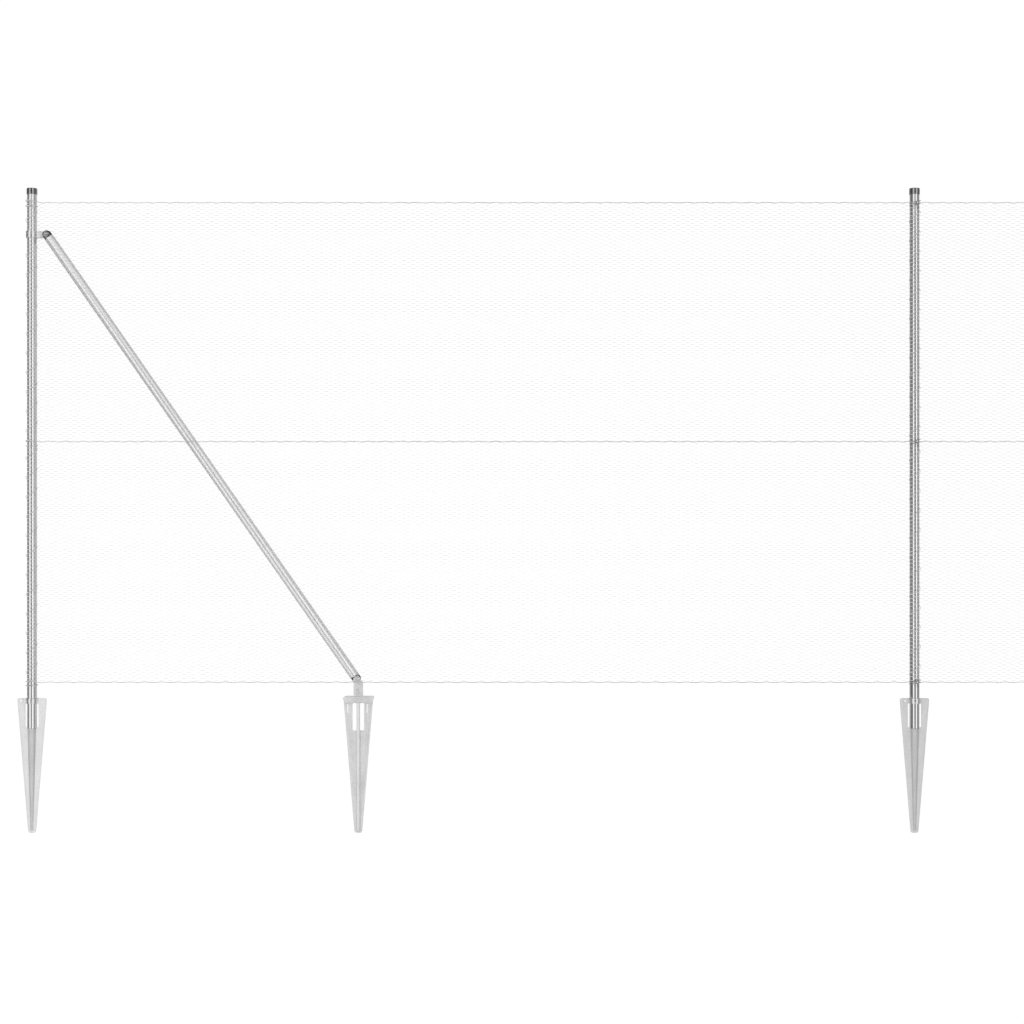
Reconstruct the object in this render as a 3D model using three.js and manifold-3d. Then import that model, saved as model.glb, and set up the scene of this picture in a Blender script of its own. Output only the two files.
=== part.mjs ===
// Wire mesh fence: one braced bay of woven wire netting on two round posts with driven spike anchors.
// Millimetres. The fence lies on its back: +X runs along it, +Y is its upward side when it stands,
// and +Z points out of the face that carries the netting. The group's origin is the centre of the
// overall box, at the level of the floor that the collars and the clamp rest on.

import * as THREE from "three";
import { mergeVertices } from "three/addons/utils/BufferGeometryUtils.js";
import Module from "manifold-3d";

const wasm = await Module();
wasm.setup();

// Fits shared by all pieces
const SEAT_GAP = 0.3;
const HOLE_CLEARANCE = 0.35;
const ROUND_SIDES = 32;
const SMALL_ROUND_SIDES = 16;
const CORNER_SEGMENTS = 6;
const SAME_POINT = 1e-4;
const JOIN_OVERLAP = 1;
const EDGE_RADIUS = 1;

// Posts and their caps
const POST_DIAMETER = 32;
const POST_WALL = 1.25;
const POST_ABOVE_NETTING = 46;
const POST_SPACING = 2948;
const CAP_WALL = 1.1;
const CAP_HEIGHT = 20;
const CAP_TOP_THICKNESS = 2;
const CAP_EDGE_CHAMFER = 1.5;

// Spike anchors, shared sizes
const SOCKET_DEPTH = 100;
const SPIKE_LENGTH = 350;
const WING_TOP_HALF_WIDTH = 49.5;
const WING_TIP_HALF_WIDTH = 12.5;
const WING_CORNER_RADIUS = 8;
const WING_THICKNESS = 4;
const WINDOW_CORNER_RADIUS = 4;

// Post anchors: collar, window, core and clamp bolt
const COLLAR_WALL = 3.2;
const COLLAR_HEIGHT = 18;
const WINDOW_WIDTH = 45;
const WINDOW_FOOT = 2;
const CORE_TOP_RADIUS = 14;
const CORE_TIP_RADIUS = 5;
const ANCHOR_BOLT_OFFSET = 33.5;
const ANCHOR_BOLT_BELOW_TOP = 8.5;

// Brace anchor: windows, slots, saddle and tab
const BRACE_ANCHOR_X = 1090;
const BRACE_WINDOW_WIDTH = 14;
const BRACE_WINDOW_TOP = 84;
const BRACE_WINDOW_FOOT = -8.5;
const BRACE_WINDOW_ARCH_RADIUS = 6.5;
const CENTRE_BAR_WIDTH = 10.6;
const RIB_DEPTH = 9;
const SLOT_WIDTH = 3;
const SLOT_LENGTH = 30;
const SLOT_TOP = 80;
const LEFT_SLOT_OFFSET = -35.5;
const RIGHT_SLOT_OFFSET = 29.5;
const SADDLE_HALF_WIDTH = 52.5;
const SADDLE_TOP = 107;
const SADDLE_CHAMFER = 8;
const SADDLE_CORNER_RADIUS = 3;
const SADDLE_THICKNESS = 16;
const TAB_WIDTH = 25;
const TAB_TOP = 138;

// Brace
const BRACE_DIAMETER = 32;
const BRACE_WALL = 1.25;
const BRACE_TOP_OFFSET = 50;
const BRACE_BELOW_NETTING_TOP = 106;
const BRACE_FOOT_OFFSET = -5;
const BRACE_FOOT_HEIGHT = 164;
const TONGUE_THICKNESS = 8;
const TONGUE_HALF_WIDTH = 11;
const TONGUE_REACH = 13;
const PLUG_DEPTH = 22;

// Clamp on the left post and plates at the brace foot
const STRAP_THICKNESS = 3;
const CLAMP_WALL = 3.2;
const CLAMP_HEIGHT = 23;
const FOOT_PLATE_WIDTH = 31;
const FOOT_PLATE_END_RADIUS = 12;
const FOOT_PLATE_SHOULDER_RADIUS = 6;
const FOOT_PLATE_NECK_RADIUS = 2;
const RIVET_DIAMETER = 5;
const RIVET_HEAD_DIAMETER = 8;
const RIVET_HEAD_HEIGHT = 2;
const UPPER_RIVET_HEIGHT = 127;
const LOWER_RIVET_HEIGHT = 115;

// Bolts and nuts
const JOINT_BOLT = { shank: 10, flats: 17, head: 6.4, nut: 7.5, overrun: 2 };
const ANCHOR_BOLT = { shank: 6, flats: 10, head: 4, nut: 5, overrun: 2 };

// Netting and wires
const NETTING_HEIGHT = 1600;
const NETTING_FOOT = 154;
const NETTING_THICKNESS = 1.4;
const NETTING_RUN_ON = 364;
const LINE_WIRE_DIAMETER = 2.2;
const LINE_WIRE_INSET = 2;
const NETTING_PAST_POST_AXIS = 9.4;
const LINE_WIRE_TAIL_STEPS = 2;
const TIE_WIRE_DIAMETER = 1.6;
const LACING_WIRE_DIAMETER = 1.4;
const LACING_PITCH = 65;
const LACING_END_MARGIN = 8;
const CLAMP_CLEARANCE = 1;
const LACING_STEPS_PER_TURN = 12;
const TIE_STEPS = 24;
const TIE_SLANT = THREE.MathUtils.degToRad(12);
const WIRE_SIDES = 6;
const LACING_SIDES = 4;
const BINDING_SQUARENESS = 8;

// Places worked out from the sizes above
const postRadius = POST_DIAMETER / 2;
const braceRadius = BRACE_DIAMETER / 2;
const collarRadius = postRadius + SEAT_GAP + COLLAR_WALL;
const clampRadius = postRadius + SEAT_GAP + CLAMP_WALL;
const capRadius = postRadius + SEAT_GAP + CAP_WALL;
const nettingTop = NETTING_FOOT + NETTING_HEIGHT;
const postLength = nettingTop + POST_ABOVE_NETTING;
const capTop = postLength + SEAT_GAP + CAP_TOP_THICKNESS;
const nettingBack = Math.max(postRadius, braceRadius) + SEAT_GAP;
const nettingFront = nettingBack + NETTING_THICKNESS;
const fenceEnd = POST_SPACING + NETTING_RUN_ON;
const lineWireLevel = nettingFront + SEAT_GAP + LINE_WIRE_DIAMETER / 2;
const lineWireHeights = {
  top: nettingTop - LINE_WIRE_INSET,
  middle: NETTING_FOOT + NETTING_HEIGHT / 2,
  bottom: NETTING_FOOT + LINE_WIRE_INSET,
};
const earInnerFace = TONGUE_THICKNESS / 2 + SEAT_GAP;
const earOuterFace = earInnerFace + STRAP_THICKNESS;
const braceTop = new THREE.Vector2(BRACE_TOP_OFFSET, nettingTop - BRACE_BELOW_NETTING_TOP);
const braceFoot = new THREE.Vector2(BRACE_ANCHOR_X + BRACE_FOOT_OFFSET, BRACE_FOOT_HEIGHT);
const braceLean = Math.atan2(braceFoot.x - braceTop.x, braceTop.y - braceFoot.y);
const slitInner = NETTING_PAST_POST_AXIS;
const slitOuter = postRadius + SEAT_GAP + LINE_WIRE_DIAMETER;

// Finishes, as the zinc shows in daylight
const FINISHES = {
  bright_zinc: { color: 0xb9bcbe, roughness: 0.28, metalness: 1.0 },
  matt_zinc: { color: 0xcfd1d2, roughness: 0.6, metalness: 0.7 },
  netting_zinc: { color: 0xd8dadb, roughness: 0.45, metalness: 0.8 },
  wire_zinc: { color: 0xc2c4c6, roughness: 0.4, metalness: 0.9 },
  bolt_zinc: { color: 0x9a9da0, roughness: 0.35, metalness: 1.0 },
  cap_plastic: { color: 0x5d6063, roughness: 0.4, metalness: 0.0 },
};

const fence = new THREE.Group();

function material(finish) {
  return new THREE.MeshStandardMaterial(FINISHES[finish]);
}

function add(name, geometry, finish, x = 0, y = 0) {
  const mesh = new THREE.Mesh(geometry, material(finish));
  mesh.name = name;
  mesh.position.set(x, y, 0);
  fence.add(mesh);
  return mesh;
}

// Joining and cutting of closed geometries
function solid(geometry) {
  const bare = geometry.clone();
  bare.deleteAttribute("normal");
  bare.deleteAttribute("uv");
  const merged = mergeVertices(bare, SAME_POINT);
  return new wasm.Manifold(
    new wasm.Mesh({
      numProp: 3,
      vertProperties: new Float32Array(merged.attributes.position.array),
      triVerts: new Uint32Array(merged.index.array),
    }),
  );
}

function fromSolid(body) {
  const mesh = body.getMesh();
  const geometry = new THREE.BufferGeometry();
  geometry.setAttribute("position", new THREE.BufferAttribute(mesh.vertProperties, 3));
  geometry.setIndex(new THREE.BufferAttribute(mesh.triVerts, 1));
  geometry.computeVertexNormals();
  return geometry;
}

function combine(parts, cuts = []) {
  const joined = parts.map(solid).reduce((a, b) => a.add(b));
  return fromSolid(cuts.map(solid).reduce((a, b) => a.subtract(b), joined));
}

// Shapes used more than once
function boxBetween(x0, x1, y0, y1, z0, z1) {
  return new THREE.BoxGeometry(x1 - x0, y1 - y0, z1 - z0).translate(
    (x0 + x1) / 2,
    (y0 + y1) / 2,
    (z0 + z1) / 2,
  );
}

// A round rod or hole along Z, centred on z = 0
function roundAlongZ(radius, length, x = 0, y = 0, sides = SMALL_ROUND_SIDES) {
  return new THREE.CylinderGeometry(radius, radius, length, sides)
    .rotateX(Math.PI / 2)
    .translate(x, y, 0);
}

// A tube along Y from y0 to y1
function tube(outer, inner, y0, y1) {
  const profile = [
    new THREE.Vector2(inner, y0),
    new THREE.Vector2(outer, y0),
    new THREE.Vector2(outer, y1),
    new THREE.Vector2(inner, y1),
    new THREE.Vector2(inner, y0),
  ];
  return new THREE.LatheGeometry(profile, ROUND_SIDES);
}

function plate(outline, thickness) {
  return new THREE.ExtrudeGeometry(outline, {
    depth: thickness,
    bevelEnabled: false,
    curveSegments: CORNER_SEGMENTS,
  }).translate(0, 0, -thickness / 2);
}

// A closed polygon whose corners are rounded by the radius given with each corner
function roundedOutline(corners) {
  const shape = new THREE.Shape();
  corners.forEach(([x, y, radius], index) => {
    const corner = new THREE.Vector2(x, y);
    const before = new THREE.Vector2(...corners.at(index - 1));
    const after = new THREE.Vector2(...corners[(index + 1) % corners.length]);
    const start = before.sub(corner).setLength(radius).add(corner);
    const end = after.sub(corner).setLength(radius).add(corner);
    if (index === 0) shape.moveTo(start.x, start.y);
    else shape.lineTo(start.x, start.y);
    shape.quadraticCurveTo(x, y, end.x, end.y);
  });
  shape.closePath();
  return shape;
}

// Binding wires go round the post behind and over the netting in front: a circle behind, and a
// squared arc in front that clears the netting and what lies on it.
function bindingPoint(angle, sideRadius, frontReach) {
  const across = Math.abs(Math.cos(angle)) / sideRadius;
  const front = Math.abs(Math.sin(angle)) / frontReach;
  const squared = (across ** BINDING_SQUARENESS + front ** BINDING_SQUARENESS) ** (-1 / BINDING_SQUARENESS);
  const reach = Math.sin(angle) > 0 ? squared : sideRadius;
  return new THREE.Vector3(reach * Math.cos(angle), 0, reach * Math.sin(angle));
}

// The radius at which a wire that turns in straight steps still clears the post
function roundThePost(wireDiameter, stepsPerTurn) {
  return (postRadius + SEAT_GAP + wireDiameter / 2) / Math.cos(Math.PI / stepsPerTurn);
}

class LacingPath extends THREE.Curve {
  constructor(turns, pitch) {
    super();
    this.turns = turns;
    this.pitch = pitch;
    this.sideRadius = roundThePost(LACING_WIRE_DIAMETER, LACING_STEPS_PER_TURN);
    this.frontReach = nettingFront + SEAT_GAP + LACING_WIRE_DIAMETER / 2;
  }

  getPoint(t, target = new THREE.Vector3()) {
    const angle = -Math.PI / 2 - t * this.turns * 2 * Math.PI;
    target.copy(bindingPoint(angle, this.sideRadius, this.frontReach));
    target.y = t * this.turns * this.pitch;
    return target;
  }

  // Steps are even in angle, so that each turn has the same corners
  getPointAt(u, target) {
    return this.getPoint(u, target);
  }

  getTangentAt(u, target) {
    return this.getTangent(u, target);
  }
}

function wireSection(diameter, sides) {
  const section = new THREE.Shape();
  for (let side = 0; side < sides; side += 1) {
    const angle = ((side + 0.5) / sides) * 2 * Math.PI;
    const point = [Math.cos(angle) * diameter / 2, Math.sin(angle) * diameter / 2];
    if (side === 0) section.moveTo(...point);
    else section.lineTo(...point);
  }
  section.closePath();
  return section;
}

function wireAlong(path, diameter, steps, sides) {
  return new THREE.ExtrudeGeometry(wireSection(diameter, sides), { steps, extrudePath: path });
}

// Posts and caps
function postGeometry() {
  return tube(postRadius, postRadius - POST_WALL, 0, postLength);
}

function capGeometry() {
  const skirtFoot = capTop - CAP_HEIGHT;
  const ceiling = capTop - CAP_TOP_THICKNESS;
  const profile = [
    new THREE.Vector2(0, ceiling),
    new THREE.Vector2(postRadius + SEAT_GAP, ceiling),
    new THREE.Vector2(postRadius + SEAT_GAP, skirtFoot),
    new THREE.Vector2(capRadius, skirtFoot),
    new THREE.Vector2(capRadius, capTop - CAP_EDGE_CHAMFER),
    new THREE.Vector2(capRadius - CAP_EDGE_CHAMFER, capTop),
    new THREE.Vector2(0, capTop),
  ];
  return new THREE.LatheGeometry(profile, ROUND_SIDES);
}

// Anchors: flat wings that narrow to the tip, seen square on in the plane of the fence
function wingOutline() {
  return roundedOutline([
    [-WING_TIP_HALF_WIDTH, -SPIKE_LENGTH, WING_CORNER_RADIUS],
    [WING_TIP_HALF_WIDTH, -SPIKE_LENGTH, WING_CORNER_RADIUS],
    [WING_TOP_HALF_WIDTH, SOCKET_DEPTH, WING_CORNER_RADIUS],
    [-WING_TOP_HALF_WIDTH, SOCKET_DEPTH, WING_CORNER_RADIUS],
  ]);
}

function windowCutter(x0, x1, y0, y1, topRadius = WINDOW_CORNER_RADIUS) {
  const outline = roundedOutline([
    [x0, y0, WINDOW_CORNER_RADIUS],
    [x1, y0, WINDOW_CORNER_RADIUS],
    [x1, y1, topRadius],
    [x0, y1, topRadius],
  ]);
  return plate(outline, 3 * WING_THICKNESS);
}

function postAnchorGeometry() {
  const collarFoot = SOCKET_DEPTH - COLLAR_HEIGHT;
  const coreTop = -SEAT_GAP;
  const coreFoot = WING_CORNER_RADIUS - SPIKE_LENGTH;
  const core = new THREE.CylinderGeometry(
    CORE_TOP_RADIUS,
    CORE_TIP_RADIUS,
    coreTop - coreFoot,
    SMALL_ROUND_SIDES,
  ).translate(0, (coreTop + coreFoot) / 2, 0);
  const collar = tube(collarRadius, postRadius + SEAT_GAP, collarFoot, SOCKET_DEPTH);
  const bore = new THREE.CylinderGeometry(
    postRadius + SEAT_GAP,
    postRadius + SEAT_GAP,
    2 * SOCKET_DEPTH,
    ROUND_SIDES,
  ).translate(0, SOCKET_DEPTH + coreTop, 0);
  const opening = windowCutter(-WINDOW_WIDTH / 2, WINDOW_WIDTH / 2, WINDOW_FOOT, collarFoot);
  const boltHole = roundAlongZ(
    ANCHOR_BOLT.shank / 2 + HOLE_CLEARANCE,
    3 * WING_THICKNESS,
    -ANCHOR_BOLT_OFFSET,
    SOCKET_DEPTH - ANCHOR_BOLT_BELOW_TOP,
  );
  const wings = combine([plate(wingOutline(), WING_THICKNESS)], [opening, bore]);
  return combine([wings, core, collar], [boltHole]);
}

function saddleOutline() {
  const foot = BRACE_WINDOW_TOP;
  const shoulder = SADDLE_TOP - SADDLE_CHAMFER;
  return roundedOutline([
    [-SADDLE_HALF_WIDTH + SADDLE_CHAMFER, foot, EDGE_RADIUS],
    [SADDLE_HALF_WIDTH - SADDLE_CHAMFER, foot, EDGE_RADIUS],
    [SADDLE_HALF_WIDTH, shoulder, SADDLE_CORNER_RADIUS],
    [SADDLE_HALF_WIDTH - EDGE_RADIUS, SADDLE_TOP, EDGE_RADIUS],
    [-SADDLE_HALF_WIDTH + SADDLE_CHAMFER, SADDLE_TOP, SADDLE_CORNER_RADIUS],
    [-SADDLE_HALF_WIDTH, shoulder, SADDLE_CORNER_RADIUS],
  ]);
}

function braceAnchorGeometry() {
  const barEdge = CENTRE_BAR_WIDTH / 2;
  const windowEdge = barEdge + BRACE_WINDOW_WIDTH;
  const ribFoot = WING_CORNER_RADIUS - SPIKE_LENGTH;
  const ribTop = BRACE_WINDOW_TOP + JOIN_OVERLAP;
  const rib = boxBetween(-barEdge, barEdge, ribFoot, ribTop, -RIB_DEPTH, RIB_DEPTH);
  const tab = boxBetween(
    -TAB_WIDTH / 2,
    TAB_WIDTH / 2,
    SADDLE_TOP - JOIN_OVERLAP,
    TAB_TOP,
    -TONGUE_THICKNESS / 2,
    TONGUE_THICKNESS / 2,
  );
  const slots = [LEFT_SLOT_OFFSET, RIGHT_SLOT_OFFSET].map((x) =>
    boxBetween(
      x - SLOT_WIDTH / 2,
      x + SLOT_WIDTH / 2,
      SLOT_TOP - SLOT_LENGTH,
      SLOT_TOP,
      -2 * WING_THICKNESS,
      2 * WING_THICKNESS,
    ),
  );
  const windowBetween = (x0, x1) =>
    windowCutter(x0, x1, BRACE_WINDOW_FOOT, BRACE_WINDOW_TOP, BRACE_WINDOW_ARCH_RADIUS);
  const windows = [windowBetween(-windowEdge, -barEdge), windowBetween(barEdge, windowEdge)];
  const rivetHoles = [UPPER_RIVET_HEIGHT, LOWER_RIVET_HEIGHT].map((y) =>
    roundAlongZ(RIVET_DIAMETER / 2 + HOLE_CLEARANCE, 3 * TONGUE_THICKNESS, 0, y),
  );
  const wings = combine([plate(wingOutline(), WING_THICKNESS)], [...windows, ...slots]);
  const saddle = plate(saddleOutline(), SADDLE_THICKNESS);
  return combine([wings, rib, saddle, tab], rivetHoles);
}

// Bolts, nuts and rivets lie along Z through the middle of what they hold
function hexPrism(flats, height, z) {
  return new THREE.CylinderGeometry(flats / Math.sqrt(3), flats / Math.sqrt(3), height, 6)
    .rotateX(Math.PI / 2)
    .translate(0, 0, z + height / 2);
}

function boltGeometry(bolt, gripHalf) {
  const seat = gripHalf + SEAT_GAP;
  const tip = -(seat + bolt.nut + bolt.overrun);
  const top = seat + bolt.head / 2;
  const shank = roundAlongZ(bolt.shank / 2, top - tip).translate(0, 0, (top + tip) / 2);
  return combine([shank, hexPrism(bolt.flats, bolt.head, seat)]);
}

function nutGeometry(bolt, gripHalf) {
  const seat = gripHalf + SEAT_GAP;
  const through = 3 * (seat + bolt.nut);
  const hole = roundAlongZ(bolt.shank / 2 + HOLE_CLEARANCE, through);
  return combine([hexPrism(bolt.flats, bolt.nut, -seat - bolt.nut)], [hole]);
}

function rivetGeometry(gripHalf) {
  const seat = gripHalf + SEAT_GAP;
  const shank = roundAlongZ(RIVET_DIAMETER / 2, 2 * seat + RIVET_HEAD_HEIGHT);
  const headAt = (side) =>
    roundAlongZ(RIVET_HEAD_DIAMETER / 2, RIVET_HEAD_HEIGHT).translate(
      0,
      0,
      side * (seat + RIVET_HEAD_HEIGHT / 2),
    );
  return combine([shank, headAt(1), headAt(-1)]);
}

// Brace: a tube between two plugs, each with a flat tongue that a bolt goes through
function braceTubeGeometry(length) {
  return tube(braceRadius, braceRadius - BRACE_WALL, TONGUE_REACH, length - TONGUE_REACH);
}

// The plug's bolt is at its origin and the tube lies along +Y
function bracePlugGeometry() {
  const tongueEnd = TONGUE_REACH - SEAT_GAP;
  const plugRadius = braceRadius - BRACE_WALL - SEAT_GAP;
  const plug = new THREE.CylinderGeometry(plugRadius, plugRadius, PLUG_DEPTH, SMALL_ROUND_SIDES)
    .translate(0, TONGUE_REACH + PLUG_DEPTH / 2, 0);
  const tongue = boxBetween(
    -TONGUE_HALF_WIDTH,
    TONGUE_HALF_WIDTH,
    0,
    tongueEnd + PLUG_DEPTH / 2,
    -TONGUE_THICKNESS / 2,
    TONGUE_THICKNESS / 2,
  );
  const nose = roundAlongZ(TONGUE_HALF_WIDTH, TONGUE_THICKNESS, 0, 0, ROUND_SIDES);
  const hole = roundAlongZ(JOINT_BOLT.shank / 2 + HOLE_CLEARANCE, 3 * TONGUE_THICKNESS);
  return combine([plug, tongue, nose], [hole]);
}

// Clamp: a strap round the post whose ends run out as two ears on either side of the tongue
function clampGeometry() {
  const half = CLAMP_HEIGHT / 2;
  const band = tube(clampRadius, postRadius + SEAT_GAP, -half, half);
  const bore = new THREE.CylinderGeometry(
    postRadius + SEAT_GAP,
    postRadius + SEAT_GAP,
    2 * CLAMP_HEIGHT,
    ROUND_SIDES,
  );
  const ears = boxBetween(0, BRACE_TOP_OFFSET, -half, half, -earOuterFace, earOuterFace);
  const earEnds = roundAlongZ(half, 2 * earOuterFace, BRACE_TOP_OFFSET, 0, ROUND_SIDES);
  const gap = boxBetween(
    0,
    BRACE_TOP_OFFSET + CLAMP_HEIGHT,
    -CLAMP_HEIGHT,
    CLAMP_HEIGHT,
    -earInnerFace,
    earInnerFace,
  );
  const hole = roundAlongZ(
    JOINT_BOLT.shank / 2 + HOLE_CLEARANCE,
    3 * earOuterFace,
    BRACE_TOP_OFFSET,
  );
  return combine([band, ears, earEnds], [bore, gap, hole]);
}

// Foot plates: two straps, in front and behind, from the saddle's top up to the brace's foot bolt
function footPlateGeometry() {
  const foot = SADDLE_TOP + SEAT_GAP;
  const shoulder = BRACE_FOOT_HEIGHT - FOOT_PLATE_END_RADIUS;
  const half = FOOT_PLATE_WIDTH / 2;
  const outline = roundedOutline([
    [-half, foot, EDGE_RADIUS],
    [half, foot, EDGE_RADIUS],
    [half, shoulder, FOOT_PLATE_SHOULDER_RADIUS],
    [BRACE_FOOT_OFFSET + FOOT_PLATE_END_RADIUS, BRACE_FOOT_HEIGHT, FOOT_PLATE_NECK_RADIUS],
    [BRACE_FOOT_OFFSET - FOOT_PLATE_END_RADIUS, BRACE_FOOT_HEIGHT, FOOT_PLATE_NECK_RADIUS],
    [-half, shoulder, FOOT_PLATE_NECK_RADIUS],
  ]);
  const head = roundAlongZ(
    FOOT_PLATE_END_RADIUS,
    STRAP_THICKNESS,
    BRACE_FOOT_OFFSET,
    BRACE_FOOT_HEIGHT,
    ROUND_SIDES,
  );
  const boltHole = roundAlongZ(
    JOINT_BOLT.shank / 2 + HOLE_CLEARANCE,
    3 * STRAP_THICKNESS,
    BRACE_FOOT_OFFSET,
    BRACE_FOOT_HEIGHT,
  );
  const rivetHoles = [UPPER_RIVET_HEIGHT, LOWER_RIVET_HEIGHT].map((y) =>
    roundAlongZ(RIVET_DIAMETER / 2 + HOLE_CLEARANCE, 3 * STRAP_THICKNESS, 0, y),
  );
  return combine([plate(outline, STRAP_THICKNESS), head], [boltHole, ...rivetHoles]);
}

// Lacing runs on each post, between the line wires and clear of the clamp
function lacingRun(foot, head) {
  const room = head - foot - 2 * LACING_END_MARGIN;
  const turns = Math.max(1, Math.floor(room / LACING_PITCH));
  const pitch = Math.min(LACING_PITCH, room / turns);
  const start = (foot + head - turns * pitch) / 2;
  return { start, turns, pitch, end: start + turns * pitch };
}

const clampFoot = braceTop.y - CLAMP_HEIGHT / 2;
const clampHead = braceTop.y + CLAMP_HEIGHT / 2;
const lacingRuns = {
  left: {
    lower: lacingRun(lineWireHeights.bottom, lineWireHeights.middle),
    upper: lacingRun(lineWireHeights.middle, clampFoot),
    top: lacingRun(clampHead, lineWireHeights.top),
  },
  right: {
    lower: lacingRun(lineWireHeights.bottom, lineWireHeights.middle),
    upper: lacingRun(lineWireHeights.middle, lineWireHeights.top),
  },
};

function lacingGeometry(run) {
  const steps = run.turns * LACING_STEPS_PER_TURN;
  const path = new LacingPath(run.turns, run.pitch);
  return wireAlong(path, LACING_WIRE_DIAMETER, steps, LACING_SIDES);
}

// The netting panel is a plain sheet with slits where the binding wires go through it
function nettingGeometry() {
  const leftEdge = -NETTING_PAST_POST_AXIS;
  const sheet = boxBetween(leftEdge, fenceEnd, NETTING_FOOT, nettingTop, nettingBack, nettingFront);
  const through = [nettingBack - NETTING_THICKNESS, nettingFront + NETTING_THICKNESS];
  const wireRoom = slitOuter * Math.tan(TIE_SLANT) + TIE_WIRE_DIAMETER / 2 + SEAT_GAP;
  const spans = (runs) => [
    ...Object.values(runs).map((run) => [
      run.start - LACING_WIRE_DIAMETER,
      run.end + LACING_WIRE_DIAMETER,
    ]),
    ...Object.values(lineWireHeights).map((y) => [y - wireRoom, y + wireRoom]),
  ];
  const slit = (x0, x1, [y0, y1]) => boxBetween(x0, x1, y0, y1, ...through);
  const cuts = [
    ...spans(lacingRuns.left).map((span) => slit(slitInner, slitOuter, span)),
    ...spans(lacingRuns.right).flatMap((span) => [
      slit(POST_SPACING + slitInner, POST_SPACING + slitOuter, span),
      slit(POST_SPACING - slitOuter, POST_SPACING - slitInner, span),
    ]),
    slit(leftEdge - CLAMP_CLEARANCE, clampRadius + CLAMP_CLEARANCE, [
      clampFoot - CLAMP_CLEARANCE,
      clampHead + CLAMP_CLEARANCE,
    ]),
  ];
  return combine([sheet], cuts);
}

// Line wires end in a turn round the left post and run on past the right one
function lineWireGeometry() {
  const sideRadius = roundThePost(LINE_WIRE_DIAMETER, TIE_STEPS);
  const corners = [new THREE.Vector3(fenceEnd, 0, lineWireLevel)];
  const quarter = TIE_STEPS / 4;
  for (let step = quarter; step <= TIE_STEPS + LINE_WIRE_TAIL_STEPS; step += 1) {
    corners.push(bindingPoint((step / TIE_STEPS) * 2 * Math.PI, sideRadius, lineWireLevel));
  }
  return polylineWire(corners, LINE_WIRE_DIAMETER, WIRE_SIDES);
}

function tieWireGeometry() {
  const sideRadius = roundThePost(TIE_WIRE_DIAMETER, TIE_STEPS) / Math.cos(TIE_SLANT);
  const frontReach = lineWireLevel + LINE_WIRE_DIAMETER / 2 + SEAT_GAP + TIE_WIRE_DIAMETER / 2;
  const points = [];
  for (let step = 0; step < TIE_STEPS; step += 1) {
    points.push(bindingPoint((step / TIE_STEPS) * 2 * Math.PI, sideRadius, frontReach));
  }
  return polylineWire(points, TIE_WIRE_DIAMETER, WIRE_SIDES, true);
}

// A wire whose corners lie in a plane of constant Y, mitred at each corner
function polylineWire(corners, diameter, sides, closed = false) {
  const count = corners.length;
  const positions = [];
  corners.forEach((corner, index) => {
    const before = closed || index > 0 ? corners.at(index - 1) : corner;
    const after = closed || index < count - 1 ? corners[(index + 1) % count] : corner;
    const inward = corner.clone().sub(before).normalize();
    const outward = after.clone().sub(corner).normalize();
    const along = inward.clone().add(outward).normalize();
    const lead = inward.lengthSq() > 0 ? inward : outward;
    const mitre = 1 / along.dot(lead);
    const normal = new THREE.Vector3(along.z, 0, -along.x);
    for (let side = 0; side < sides; side += 1) {
      const angle = ((side + 0.5) / sides) * 2 * Math.PI;
      const across = (Math.cos(angle) * mitre * diameter) / 2;
      const up = (Math.sin(angle) * diameter) / 2;
      positions.push(corner.x + normal.x * across, corner.y + up, corner.z + normal.z * across);
    }
  });
  const indices = [];
  const spans = closed ? count : count - 1;
  for (let span = 0; span < spans; span += 1) {
    for (let side = 0; side < sides; side += 1) {
      const a = span * sides + side;
      const b = span * sides + ((side + 1) % sides);
      const c = ((span + 1) % count) * sides + side;
      const d = ((span + 1) % count) * sides + ((side + 1) % sides);
      indices.push(a, b, c, b, d, c);
    }
  }
  if (!closed) {
    for (let side = 1; side < sides - 1; side += 1) {
      const last = (count - 1) * sides;
      indices.push(0, side + 1, side);
      indices.push(last, last + side, last + side + 1);
    }
  }
  const geometry = new THREE.BufferGeometry();
  geometry.setAttribute("position", new THREE.Float32BufferAttribute(positions, 3));
  geometry.setIndex(indices);
  return geometry;
}

// Posts with their caps and anchors
const posts = { left: 0, right: POST_SPACING };
for (const [side, x] of Object.entries(posts)) {
  add(`post_${side}`, postGeometry(), "bright_zinc", x);
  add(`post_cap_${side}`, capGeometry(), "cap_plastic", x);
  add(`anchor_${side}`, postAnchorGeometry(), "matt_zinc", x);
  const boltX = x - ANCHOR_BOLT_OFFSET;
  const boltY = SOCKET_DEPTH - ANCHOR_BOLT_BELOW_TOP;
  add(`anchor_bolt_${side}`, boltGeometry(ANCHOR_BOLT, WING_THICKNESS / 2), "bolt_zinc", boltX, boltY);
  add(`anchor_nut_${side}`, nutGeometry(ANCHOR_BOLT, WING_THICKNESS / 2), "bolt_zinc", boltX, boltY);
}

// Brace with its plugs, clamp, plates, anchor and fastenings
const braceLength = braceTop.distanceTo(braceFoot);
add("brace_tube", braceTubeGeometry(braceLength), "bright_zinc", braceFoot.x, braceFoot.y)
  .rotation.z = braceLean;
add("brace_plug_foot", bracePlugGeometry(), "bolt_zinc", braceFoot.x, braceFoot.y)
  .rotation.z = braceLean;
add("brace_plug_top", bracePlugGeometry(), "bolt_zinc", braceTop.x, braceTop.y)
  .rotation.z = braceLean + Math.PI;
add("brace_clamp", clampGeometry(), "matt_zinc", 0, braceTop.y);
add("brace_clamp_bolt", boltGeometry(JOINT_BOLT, earOuterFace), "bolt_zinc", braceTop.x, braceTop.y);
add("brace_clamp_nut", nutGeometry(JOINT_BOLT, earOuterFace), "bolt_zinc", braceTop.x, braceTop.y);
add("foot_plate_front", footPlateGeometry(), "matt_zinc", BRACE_ANCHOR_X)
  .position.z = earInnerFace + STRAP_THICKNESS / 2;
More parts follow.
